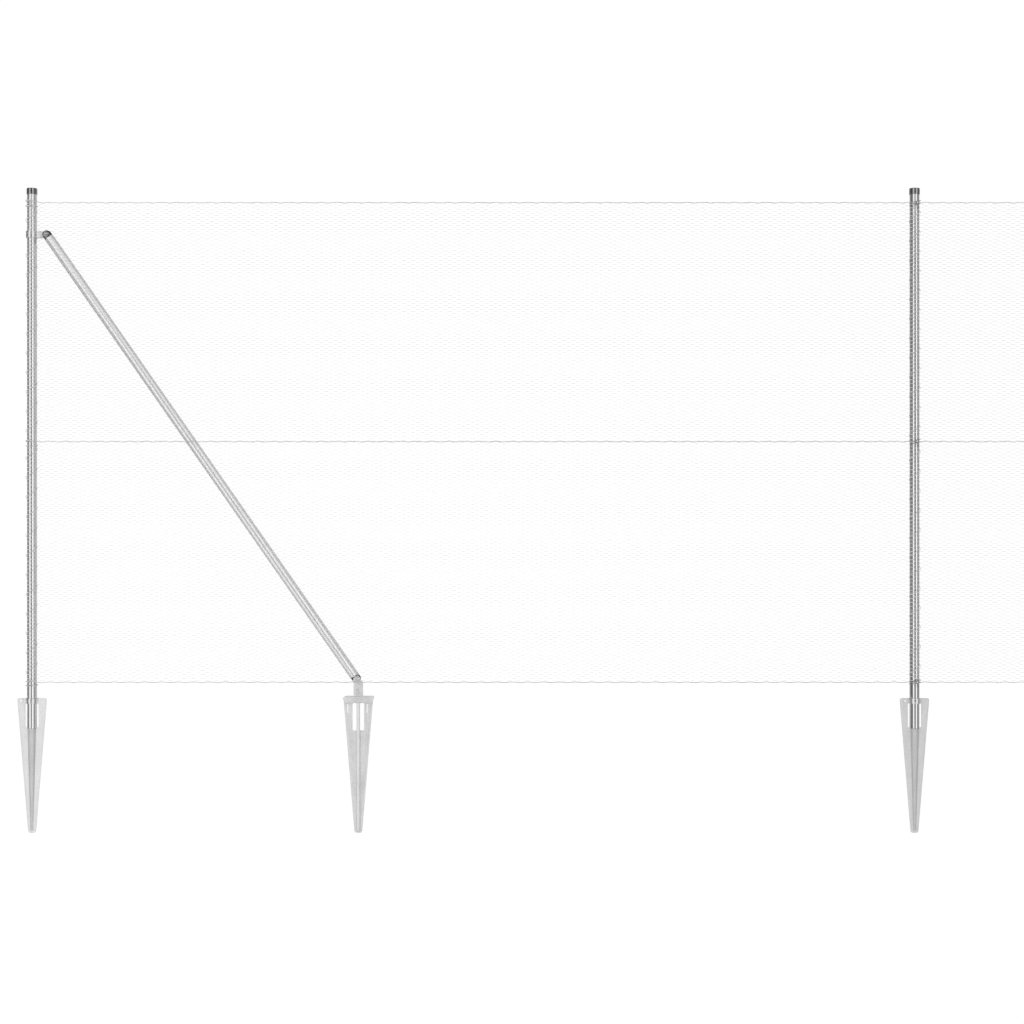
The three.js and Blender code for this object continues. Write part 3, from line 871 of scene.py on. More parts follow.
@dataclass
class Posts(Group):
    """The two round posts with their push-on caps."""

    length: float = 1800.0
    edge: float = 0.3
    cap_radius: float = 17.4
    cap_wall: float = 1.1
    cap_top: float = 1802.3
    cap_height: float = 20.0
    cap_rim: float = 1.6
    bead: float = 0.55
    sides: int = 64

    def build(self) -> None:
        """Makes both posts and both caps."""
        for side in Side:
            centre = self.ground.at(self.ground.post_x(side), self.length / 2)
            tube = pipe(centre, JOINTS.tube_radius, JOINTS.tube_wall, self.length, UP, self.edge)
            name, node = f"post_tube_{side.value}", f"post_{side.value}"
            # The right post's finish carries painted shade: a darker copy of the left post's zinc.
            finish_piece([tube], name, self.finishes.posts[side], [node])
            self.build_cap(side)

    def build_cap(self, side: Side) -> None:
        """Makes one cap: a cup with a rounded top edge and a rolled foot.

        Args:
            side: which post it closes.
        """
        x = self.ground.post_x(side)
        centre = self.ground.at(x, self.cap_top - self.cap_height / 2)
        cup = round_bar(centre, self.cap_radius, self.cap_height, UP, self.sides)
        foot = self.ground.at(x, self.cap_top - self.cap_height).y
        with editing(cup):
            bpy.ops.mesh.select_all(action="DESELECT")
        for face in cup.data.polygons:
            face.select = abs(face.center.y - foot) < 1e-5
        bpy.ops.object.mode_set(mode="EDIT")
        bpy.ops.mesh.delete(type="FACE")
        bpy.ops.object.mode_set(mode="OBJECT")
        soften(cup, self.cap_rim, 5, 60.0)
        apply_modifier(cup, "SOLIDIFY", thickness=self.cap_wall * MM, offset=-1.0)
        place = self.ground.at(x, self.cap_top - self.cap_height + self.bead)
        bead = torus(place, self.cap_radius - self.bead / 4, self.bead, self.sides, 8, math.pi / 2)
        name, node = f"cap_{side.value}", f"post_cap_{side.value}"
        finish_piece([cup, bead], name, self.finishes.cap, [node])


@dataclass
class SpikeShape:
    """Sizes that all three driven anchors share, in millimetres."""

    socket: float = 100.0
    spike: float = 350.0
    top_half: float = 49.5
    tip_half: float = 12.5
    corner: float = 8.0
    thickness: float = 4.0
    edge: float = 0.7

    def half_width(self, y: float) -> float:
        """Gives the half width of the wings at a height."""
        share = (y + self.spike) / (self.socket + self.spike)
        return self.tip_half + (self.top_half - self.tip_half) * share

    def fold_edges(
        self, piece: Piece, ground: Ground, x: float, lip: float, drop: float
    ) -> None:
        """Bends a narrow lip along both outer edges of the wings backwards.

        Args:
            piece: the wings' mesh.
            ground: the fence's place.
            x: the anchor's axis, in millimetres.
            lip: width of the lip.
            drop: how far its outer edge goes back.
        """
        lean = math.atan2(self.top_half - self.tip_half, self.socket + self.spike)
        for sign in (-1, 1):
            normal = Vector((sign * math.cos(lean), -math.sin(lean), 0))
            place = ground.at(x + sign * (self.half_width(0.0) - lip), 0.0)
            with editing(piece):
                bpy.ops.mesh.bisect(plane_co=place, plane_no=normal)
            for vertex in piece.data.vertices:
                beyond = (vertex.co - place).dot(normal)
                if beyond > 0:
                    vertex.co.z -= beyond / (lip * MM) * drop * MM
        piece.data.update()


@dataclass
class PostAnchors(Group):
    """The pressed anchors that hold the posts: wings, collar and core; their clamp bolts are made with the
    other fasteners.
    """

    shape: SpikeShape
    collar_radius: float = 19.5
    collar_wall: float = 3.2
    collar_height: float = 18.0
    window_half: float = 22.5
    window_foot: float = 2.0
    window_corner: float = 4.0
    core_top: float = 14.0
    core_tip: float = 5.0
    core_start: float = -0.3
    bolt_hole: float = 3.35
    lip: float = 6.0
    lip_drop: float = 1.3
    bead: float = 1.1
    bead_inset: float = 1.5
    bead_steps: int = 12
    bead_sway: float = 0.25

    def build(self) -> None:
        """Makes both anchors."""
        for side in Side:
            x, end = self.ground.post_x(side), side.value
            parts = [self.wings(x), *self.weld_beads(x)]
            # The right anchor's sheet finish carries painted shade: a darker copy of the left one's.
            sheet = self.finishes.sheets[side]
            finish_piece(parts, f"anchor_wings_{end}", sheet, [f"anchor_{end}"])
            collar, core = self.finishes.collar, self.finishes.core
            finish_piece([self.collar(x)], f"anchor_collar_{end}", collar, [])
            # The core's darker finish is painted shade along the middle of the spike.
            finish_piece([self.core(x)], f"anchor_core_{end}", core, [])

    def wings(self, x: float) -> Piece:
        """Cuts the two flat wings with the window between them.

        Args:
            x: the post's axis in millimetres.

        Returns:
            The new mesh object.
        """
        shape = self.shape
        top, foot = shape.socket, -shape.spike
        collar_foot = top - self.collar_height
        inner = self.collar_radius - 1.0
        right = rounded([
            (0.0, foot, 0.5),
            (shape.tip_half, foot, shape.corner),
            (shape.top_half, top, shape.corner),
            (inner, top, 0.5),
            (inner, collar_foot, 0.5),
            (self.window_half, collar_foot, self.window_corner),
            (self.window_half, self.window_foot, self.window_corner),
            (0.0, self.window_foot, 0.5),
        ])
        left = [(-px, py) for px, py in reversed(right)]
        hole = circle_outline(*JOINTS.anchor_bolt, self.bolt_hole)
        place = self.ground.at(x, 0.0)
        halves = [
            plate(place, [right], shape.thickness, shape.edge),
            plate(place, [left, hole], shape.thickness, shape.edge),
        ]
        piece = join(halves, "wings")
        shape.fold_edges(piece, self.ground, x, self.lip, self.lip_drop)
        return piece

    def collar(self, x: float) -> Piece:
        """Makes the ring round the post."""
        middle = self.ground.at(x, self.shape.socket - self.collar_height / 2)
        return pipe(middle, self.collar_radius, self.collar_wall, self.collar_height, UP, 0.9, 64)

    def core(self, x: float) -> Piece:
        """Makes the round core that runs down the middle of the wings.

        Args:
            x: the post's axis in millimetres.

        Returns:
            The new mesh object.
        """
        top, foot = self.core_start, self.shape.corner - self.shape.spike
        middle = self.ground.at(x, (top + foot) / 2)
        core = round_bar(middle, self.core_tip, top - foot, UP, 40, True, self.core_top)
        soften(core, 1.2, 3, 60.0)
        return core

    def weld_beads(self, x: float) -> list[Piece]:
        """Lays a weld bead where each wing meets the collar, in front and behind.

        Args:
            x: the post's axis in millimetres.

        Returns:
            The four beads.
        """
        beads = []
        top = self.shape.socket - self.bead_inset
        fall = (self.collar_height - 2 * self.bead_inset) / self.bead_steps
        for sign, face in ((-1, -1), (-1, 1), (1, -1), (1, 1)):
            points = []
            for step in range(self.bead_steps + 1):
                sway = self.bead_sway * (1 if step % 2 else -1)
                across = sign * (self.collar_radius + 0.1 + sway)
                out = face * self.shape.thickness / 2
                points.append(self.ground.at(x + across, top - step * fall, out))
            beads.append(wire(points, 2 * self.bead))
        return beads


@dataclass
class BraceAnchor(Group):
    """The anchor below the brace: slotted wings, rib, saddle and tab."""

    shape: SpikeShape
    x: float = JOINTS.anchor_x
    bar_half: float = 5.3
    window_width: float = 14.0
    window_top: float = 84.0
    window_foot: float = -8.5
    arch: float = 6.5
    rib_depth: float = 9.0
    slot_width: float = 3.0
    slot_length: float = 30.0
    slot_top: float = 80.0
    slots: tuple[float, float] = (-35.5, 29.5)
    saddle_half: float = 52.5
    saddle_top: float = 107.0
    saddle_chamfer: float = 8.0
    saddle_thickness: float = 16.0
    tab_half: float = 12.5
    tab_top: float = 138.0
    tab_thickness: float = 8.0
    arch_rise: float = 3.5
    lip: float = 5.0
    lip_drop: float = 1.2
    weld_span: tuple[float, float] = (22.0, 44.0)
    weld_steps: int = 14
    weld_sway: float = 0.2
    weld_drop: float = 0.4
    weld_diameter: float = 2.4

    def build(self) -> None:
        """Makes the whole anchor."""
        parts = [self.wings(), self.saddle(), self.tab(), *self.welds()]
        finish_piece(parts, "brace_anchor_wings", self.finishes.strap, ["anchor_brace"])
        finish_piece([self.rib()], "brace_anchor_rib", self.finishes.rib, [])

    def wings(self) -> Piece:
        """Cuts the wings with their two windows and two slots.

        Returns:
            The new mesh object.
        """
        shape = self.shape
        outline = rounded([
            (-shape.tip_half, -shape.spike, shape.corner),
            (shape.tip_half, -shape.spike, shape.corner),
            (shape.top_half, shape.socket, shape.corner),
            (-shape.top_half, shape.socket, shape.corner),
        ])
        holes = []
        for sign in (-1, 1):
            near = sign * self.bar_half
            far = sign * (self.bar_half + self.window_width)
            holes.append(rounded([
                (near, self.window_foot, 4.0), (far, self.window_foot, 4.0),
                (far, self.window_top, self.arch), (near, self.window_top, self.arch),
            ]))
        for x in self.slots:
            low, high = x - self.slot_width / 2, x + self.slot_width / 2
            foot = self.slot_top - self.slot_length
            holes.append(rounded([
                (low, foot, 1.4), (high, foot, 1.4), (high, self.slot_top, 1.4), (low, self.slot_top, 1.4),
            ]))
        place = self.ground.at(self.x, 0.0)
        piece = plate(place, [outline, *holes], shape.thickness, shape.edge)
        shape.fold_edges(piece, self.ground, self.x, self.lip, self.lip_drop)
        return piece

    def saddle(self) -> Piece:
        """Cuts the saddle: a deep bar with a chamfered shoulder and two arches below.

        Returns:
            The new mesh object.
        """
        half, chamfer, top = self.saddle_half, self.saddle_chamfer, self.saddle_top
        foot, roof = self.window_top, self.window_top + self.arch_rise
        side = self.bar_half + self.window_width
        right = [
            (self.bar_half + 2.5, roof, 2.5),
            (side - 5.0, roof, 2.5),
            (side, foot, 1.5),
            (half - chamfer, foot, 1.0),
        ]
        outline = rounded([
            *mirrored(right),
            (0.0, foot, 3.0),
            *right,
            (half, top - chamfer, 3.0),
            (half - 1.0, top, 1.0),
            (-half + chamfer, top, 3.0),
            (-half, top - chamfer, 3.0),
        ])
        return plate(self.ground.at(self.x, 0.0), [outline], self.saddle_thickness, 1.6)

    def tab(self) -> Piece:
        """Cuts the upright tab that the foot plates are riveted to.

        Returns:
            The new mesh object.
        """
        outline = rounded([
            (-self.tab_half, self.saddle_top - 2.0, 0.5),
            (self.tab_half, self.saddle_top - 2.0, 0.5),
            (self.tab_half, self.tab_top, 2.5),
            (-self.tab_half, self.tab_top, 2.5),
        ])
        holes = [circle_outline(0.0, y, JOINTS.rivet_hole) for y in JOINTS.rivets]
        return plate(self.ground.at(self.x, 0.0), [outline, *holes], self.tab_thickness, 0.6)

    def rib(self) -> Piece:
        """Makes the upright rib between the windows, which runs down to the tip.

        Returns:
            The new mesh object.
        """
        low = self.ground.at(self.x - self.bar_half, self.shape.corner - self.shape.spike, -self.rib_depth)
        high = self.ground.at(self.x + self.bar_half, self.window_top + 1.0, self.rib_depth)
        rib = slab(low, high, 2.2)
        soften(rib, 0.5, 1, 20.0)
        return rib

    def welds(self) -> list[Piece]:
        """Lays short weld beads under the saddle.

        Returns:
            The four beads.
        """
        beads = []
        near, far = self.weld_span
        for first, last in ((-far, -near), (near, far)):
            for face in (-1, 1):
                points = []
                for step in range(self.weld_steps + 1):
                    x = self.x + first + (last - first) * step / self.weld_steps
                    y = self.window_top - self.weld_drop + self.weld_sway * (1 if step % 2 else -1)
                    points.append(self.ground.at(x, y, face * (self.shape.thickness / 2 + 0.2)))
                beads.append(wire(points, self.weld_diameter))
        return beads


@dataclass
class Brace(Group):
    """The slanting tube with its end plugs."""

    reach: float = 13.0
    edge: float = 0.35
    tongue_half: float = 14.6
    tongue_past_bolt: float = 6.5
    tongue_corner: float = 4.5
    tongue_thickness: float = 8.0
    plug_depth: float = 22.0
    plug_gap: float = 0.3

    def build(self) -> None:
        """Makes the tube and both plugs."""
        top, foot = Vector(JOINTS.brace_top), Vector(JOINTS.brace_foot)
        along = (top - foot).normalized()
        middle = self.ground.at(*((top + foot) / 2))
        length = (top - foot).length - 2 * self.reach
        way = Vector((*along, 0))
        tube = pipe(middle, JOINTS.tube_radius, JOINTS.tube_wall, length, way, self.edge)
        finish_piece([tube], "brace_pipe", self.finishes.brace, ["brace_tube"])
        self.plug(foot, along, "foot")
        self.plug(top, -along, "top")

    def plug(self, place: Vector, along: Vector, name: str) -> None:
        """Makes one end plug: a round stopper with a flat tongue and an eye, in a near-black finish that
        paints the shadow at the tube's end.

        Args:
            place: the eye's place in millimetres.
            along: the way into the tube.
            name: which end it is.
        """
        turn = math.atan2(along.y, along.x) - math.pi / 2
        foot, head = -self.tongue_past_bolt, self.reach - 0.6
        flat = rounded([
            (-self.tongue_half, foot, self.tongue_corner), (self.tongue_half, foot, self.tongue_corner),
            (self.tongue_half, head, 1.0), (-self.tongue_half, head, 1.0),
        ])
        turned = [
            (px * math.cos(turn) - py * math.sin(turn), px * math.sin(turn) + py * math.cos(turn))
            for px, py in flat
        ]
        hole = circle_outline(0.0, 0.0, JOINTS.bolt_hole)
        tongue = plate(self.ground.at(*place), [turned, hole], self.tongue_thickness, 0.6)
        start, stop = self.reach - 0.9, self.reach + self.plug_depth
        centre = self.ground.at(*(place + along * (start + stop) / 2))
        radius = JOINTS.tube_radius - JOINTS.tube_wall - self.plug_gap
        stopper = round_bar(centre, radius, stop - start, Vector((*along, 0)), 40)
        soften(stopper, 0.5, 2, 60.0)
        # The plug's near-black finish is painted shadow at the tube's end.
        parts, plug = [tongue, stopper], self.finishes.plug
        finish_piece(parts, f"plug_{name}", plug, [f"brace_plug_{name}"])


@dataclass
class Clamp(Group):
    """The strap round the left post whose ears hold the brace's top bolt."""

    post_radius: float = 16.3
    wall: float = 3.2
    height: float = 23.0
    ear_end: float = 8.2
    ear_shoulder: float = 12.0
    ear_inner: float = 4.3
    ear_sink: float = 1.2

    def build(self) -> None:
        """Makes the strap from a band and two ears."""
        offset, y = JOINTS.brace_top
        outer, half = self.post_radius + self.wall, self.height / 2
        parts = [pipe(self.ground.at(0, y), outer, self.wall, self.height, UP, 0.8, 64)]
        start = math.sqrt(outer**2 - JOINTS.grip**2) - self.ear_sink
        shoulder = start + self.ear_shoulder
        head = half_circle(offset, 0.0, self.ear_end, -math.pi / 2, 16)
        ear = rounded([
            (start, -half, 0.0), (shoulder, -half, 3.0), *head, (shoulder, half, 3.0), (start, half, 0.0),
        ])
        hole = circle_outline(offset, 0.0, JOINTS.bolt_hole)
        for face in (-1, 1):
            place = self.ground.at(0, y, face * (self.ear_inner + JOINTS.grip) / 2)
            parts.append(plate(place, [ear, hole], JOINTS.grip - self.ear_inner, 0.7))
        finish_piece(parts, "clamp_strap", self.finishes.collar, ["brace_clamp"])


@dataclass
class FootPlates(Group):
    """The two straps between the brace anchor's tab and the brace's foot bolt."""

    foot: float = 107.3
    end_radius: float = 12.0
    half: float = 15.5
    thickness: float = 3.0
    gap: float = 4.3

    def build(self) -> None:
        """Makes the front and the back strap."""
        bolt_x, bolt_y = JOINTS.brace_foot[0] - JOINTS.anchor_x, JOINTS.brace_foot[1]
        shoulder = bolt_y - self.end_radius
        outline = rounded([
            (-self.half, self.foot, 1.0),
            (self.half, self.foot, 1.0),
            (self.half, shoulder, 5.0),
            *half_circle(bolt_x, bolt_y, self.end_radius, 0.0, 18),
            (-self.half, shoulder, 2.0),
        ])
        holes = [circle_outline(0.0, y, JOINTS.rivet_hole) for y in JOINTS.rivets]
        holes.insert(0, circle_outline(bolt_x, bolt_y, JOINTS.bolt_hole))
        for name, sign in (("front", 1), ("back", -1)):
            place = self.ground.at(JOINTS.anchor_x, 0, sign * (self.gap + self.thickness / 2))
            strap, node = plate(place, [outline, *holes], self.thickness, 0.7), f"foot_plate_{name}"
            finish_piece([strap], f"foot_strap_{name}", self.finishes.strap, [node])


@dataclass(frozen=True)
class BoltSize:
    """Sizes of one kind of bolt with its nut, in millimetres."""

    shank: float
    flats: float
    head: float
    nut: float
    overrun: float


JOINT_BOLT = BoltSize(10.0, 17.0, 6.4, 7.5, 2.0)
ANCHOR_BOLT = BoltSize(6.0, 10.0, 4.0, 5.0, 2.0)


@dataclass(frozen=True)
class Fixing:
    """One bolt with its nut.

    Attributes:
        x: place along the fence, in millimetres.
        y: place up the post, in millimetres.
        grip: half the thickness that it holds together, in millimetres.
        size: its sizes.
        key: what its pieces' names start with.
        nodes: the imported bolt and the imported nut.
        material: its finish.
    """

    x: float
    y: float
    grip: float
    size: BoltSize
    key: str
    nodes: tuple[str, str]
    material: bpy.types.Material


@dataclass
class Fasteners(Group):
    """Bolts, nuts and rivets, all along Z."""

    wing_grip: float = 2.0
    seat_gap: float = 0.3
    hex_corner: float = 0.9
    thread_start: float = 0.7
    thread_step: float = 0.8
    thread_radius: float = 0.3
    rivet_radius: float = 2.5
    rivet_head: float = 4.0
    rivet_dome: float = 2.0
    flange_radius: float = 13.2
    flange_hole: float = 7.0
    flange_thickness: float = 1.4

    def build(self) -> None:
        """Makes all fasteners of the fence."""
        fixings = []
        for side in Side:
            end = side.value
            x, y = self.ground.post_x(side) + JOINTS.anchor_bolt[0], JOINTS.anchor_bolt[1]
            nodes = (f"anchor_bolt_{end}", f"anchor_nut_{end}")
            screw = self.finishes.screw
            fixings.append(Fixing(x, y, self.wing_grip, ANCHOR_BOLT, f"anchor_{end}", nodes, screw))
        for place, key, material in (
            # The clamp bolt and nut take the dark tie finish: painted shade round the bolt head.
            (JOINTS.brace_top, "brace_clamp", self.finishes.knot),
            (JOINTS.brace_foot, "foot", self.finishes.bolt),
        ):
            nodes = (f"{key}_bolt", f"{key}_nut")
            fixings.append(Fixing(*place, JOINTS.grip, JOINT_BOLT, key, nodes, material))
        for fixing in fixings:
            self.bolt(fixing)
            self.nut(fixing)
        self.flange()
        for name, y in zip(("upper", "lower"), JOINTS.rivets):
            self.rivet(y, name)

    def bolt(self, fixing: Fixing) -> None:
        """Makes one bolt: a turned hexagon, the shank and the threads past its nut.

        Args:
            fixing: where it sits and what it holds.
        """
        x, y, size = fixing.x, fixing.y, fixing.size
        seat = fixing.grip + self.seat_gap
        tip, top = -(seat + size.nut + size.overrun), seat + size.head / 2
        head = round_bar(self.ground.at(x, y, top), size.flats / math.sqrt(3), size.head, OUT, 6)
        soften(head, self.hex_corner, 2, 75.0)
        shank = round_bar(self.ground.at(x, y, (top + tip) / 2), size.shank / 2, top - tip, OUT, 24)
        soften(shank, 0.6, 2, 60.0)
        parts = [head, shank]
        for step in range(2):
            place = self.ground.at(x, y, tip + self.thread_start + step * self.thread_step)
            ring = (size.shank - self.thread_radius) / 2
            parts.append(torus(place, ring, self.thread_radius, 24, 6))
        finish_piece(parts, f"{fixing.key}_screw", fixing.material, [fixing.nodes[0]])

    def nut(self, fixing: Fixing) -> None:
        """Makes one nut with a bored, chamfered hexagon.

        Args:
            fixing: where it sits and what it holds.
        """
        size = fixing.size
        corners = circle_outline(0.0, 0.0, size.flats / math.sqrt(3), 6, math.pi / 6)
        hole = circle_outline(0.0, 0.0, size.shank / 2 + self.seat_gap)
        depth = fixing.grip + self.seat_gap + size.nut / 2
        nut = plate(self.ground.at(fixing.x, fixing.y, -depth), [corners, hole], size.nut, 0.5)
        finish_piece([nut], f"{fixing.key}_hexnut", fixing.material, [fixing.nodes[1]])

    def flange(self) -> None:
        """Makes the near-black flange under the clamp bolt's head: a dark sheet that paints the shadow
        round the head.
        """
        depth = JOINTS.grip + self.seat_gap + self.flange_thickness / 2
        rim = circle_outline(0.0, 0.0, self.flange_radius, 32)
        hole = circle_outline(0.0, 0.0, self.flange_hole)
        place = self.ground.at(*JOINTS.brace_top, depth)
        flange = plate(place, [rim, hole], self.flange_thickness, 0.4)
        finish_piece([flange], "clamp_flange_painted_shadow", self.finishes.plug, [])

    def rivet(self, y: float, name: str) -> None:
        """Makes one rivet with a domed head on each side.

        Args:
            y: its height in millimetres.
            name: which rivet it is.
        """
        x, seat = JOINTS.anchor_x, JOINTS.grip + self.seat_gap
        length = 2 * (seat + self.seat_gap)
        parts = [round_bar(self.ground.at(x, y, 0), self.rivet_radius, length, OUT, 20)]
        for face in (-1, 1):
            centre = self.ground.at(x, y, face * (seat + self.rivet_dome / 2))
            head = round_bar(centre, self.rivet_head, self.rivet_dome, OUT * face, 20, True, 3.0)
            soften(head, 0.7, 3, 30.0)
            parts.append(head)
        strap = self.finishes.strap
        finish_piece(parts, f"foot_pin_{name}", strap, [f"foot_rivet_{name}"])


@dataclass
class Netting(Group):
    """Hexagonal netting: wires that zigzag between rows and twist with their neighbours.

    The wires run along the fence. Each meets the wire above it in one half of the pattern and the
    wire below it in the other, and both turn round each other where they meet.
    """

    start: float = -12.4
    end: float = 3312.0
    foot: float = 154.0
    height: float = 1600.0
    back: float = 16.3
    wire_diameter: float = 0.7
    zinc_coat: float = 0.09
    period_count: int = 109
    row_pairs: int = 123
    twist_share: float = 0.377
    bands: tuple[int, ...] = (31, 31, 31, 30)
    sides: int = 3

    @property
    def period(self) -> float:
        """Length of one pattern along the fence."""
        return (self.end - self.start) / self.period_count

    @property
    def row(self) -> float:
        """Height between two neighbouring wires."""
        return self.height / (2 * self.row_pairs)

    def path(self, shifted: bool) -> list[Vector]:
        """Gives one pattern of a wire's middle line.

        Args:
            shifted: whether it is the second wire of a pair, half a pattern on and one row up.

        Returns:
            Points in millimetres from the pattern's corner, the last one a pattern on from the first.
        """
        twist = self.twist_share * self.period
        half = self.period / 2
        lay = self.wire_diameter / 2
        low, high = lay, self.row - lay
        if shifted:
            low, high = self.row + high, self.row + low
        return [
            Vector((0.0, low, lay)),
            Vector((twist, low, -lay)),
            Vector((half, high, lay)),
            Vector((half + twist, high, -lay)),
            Vector((self.period, low, lay)),
        ]

    def strand(self, shifted: bool) -> Piece:
        """Makes one pattern of one wire as an open three-sided tube.

        Args:
            shifted: whether it is the second wire of a pair.

        Returns:
            The new object, with its mesh at the netting's lower left corner.
        """
        radius = self.wire_diameter / 2 + self.zinc_coat
        level = self.back + self.wire_diameter
        corner = self.ground.at(self.start, self.foot, level)
        points = self.path(shifted)
        deselect()
        bpy.ops.mesh.primitive_circle_add(
            vertices=self.sides, radius=radius * MM, rotation=(0, math.pi / 2, 0), location=(0, 0, 0)
        )
        strand = settle(bpy.context.object)
        for vertex in strand.data.vertices:
            vertex.co += corner + points[0] * MM
        with editing(strand):
            for before, after in zip(points, points[1:]):
                bpy.ops.mesh.extrude_region_move(TRANSFORM_OT_translate={"value": (after - before) * MM})
        outward(strand)
        return strand

    def repeat(self, piece: Piece, count: int, step: Vector, **settings: object) -> None:
        """Repeats a piece by a step in millimetres.

        Args:
            piece: the mesh object.
            count: how many there are in the end.
            step: from one to the next.
            settings: the modifier's other settings by name.
        """
        apply_modifier(
            piece,
            "ARRAY",
            count=count,
            use_relative_offset=False,
            use_constant_offset=True,
            constant_offset_displace=step * MM,
            **settings,
        )

    def build(self) -> None:
        """Weaves the netting in a few level bands."""
        pair = join([self.strand(False), self.strand(True)], "pair")
        along, up = Vector((self.period, 0, 0)), Vector((0, 2 * self.row, 0))
        self.repeat(pair, self.period_count, along, use_merge_vertices=True, merge_threshold=2e-5)
        with editing(pair):
            bpy.ops.mesh.select_all(action="DESELECT")
            bpy.ops.mesh.select_non_manifold()
            bpy.ops.mesh.fill_holes(sides=self.sides)
            bpy.ops.mesh.select_all(action="SELECT")
            bpy.ops.mesh.normals_make_consistent(inside=False)
        done = 0
        for number, count in enumerate(self.bands, start=1):
            pick(pair)
            bpy.ops.object.duplicate()
            band = bpy.context.object
            for vertex in band.data.vertices:
                vertex.co.y += done * 2 * self.row * MM
            self.repeat(band, count, up)
            zinc, name = self.finishes.netting, f"netting_band_{number}"
            finish_piece([band], name, zinc, ["netting"], 80.0)
            done += count
        bpy.data.objects.remove(pair)


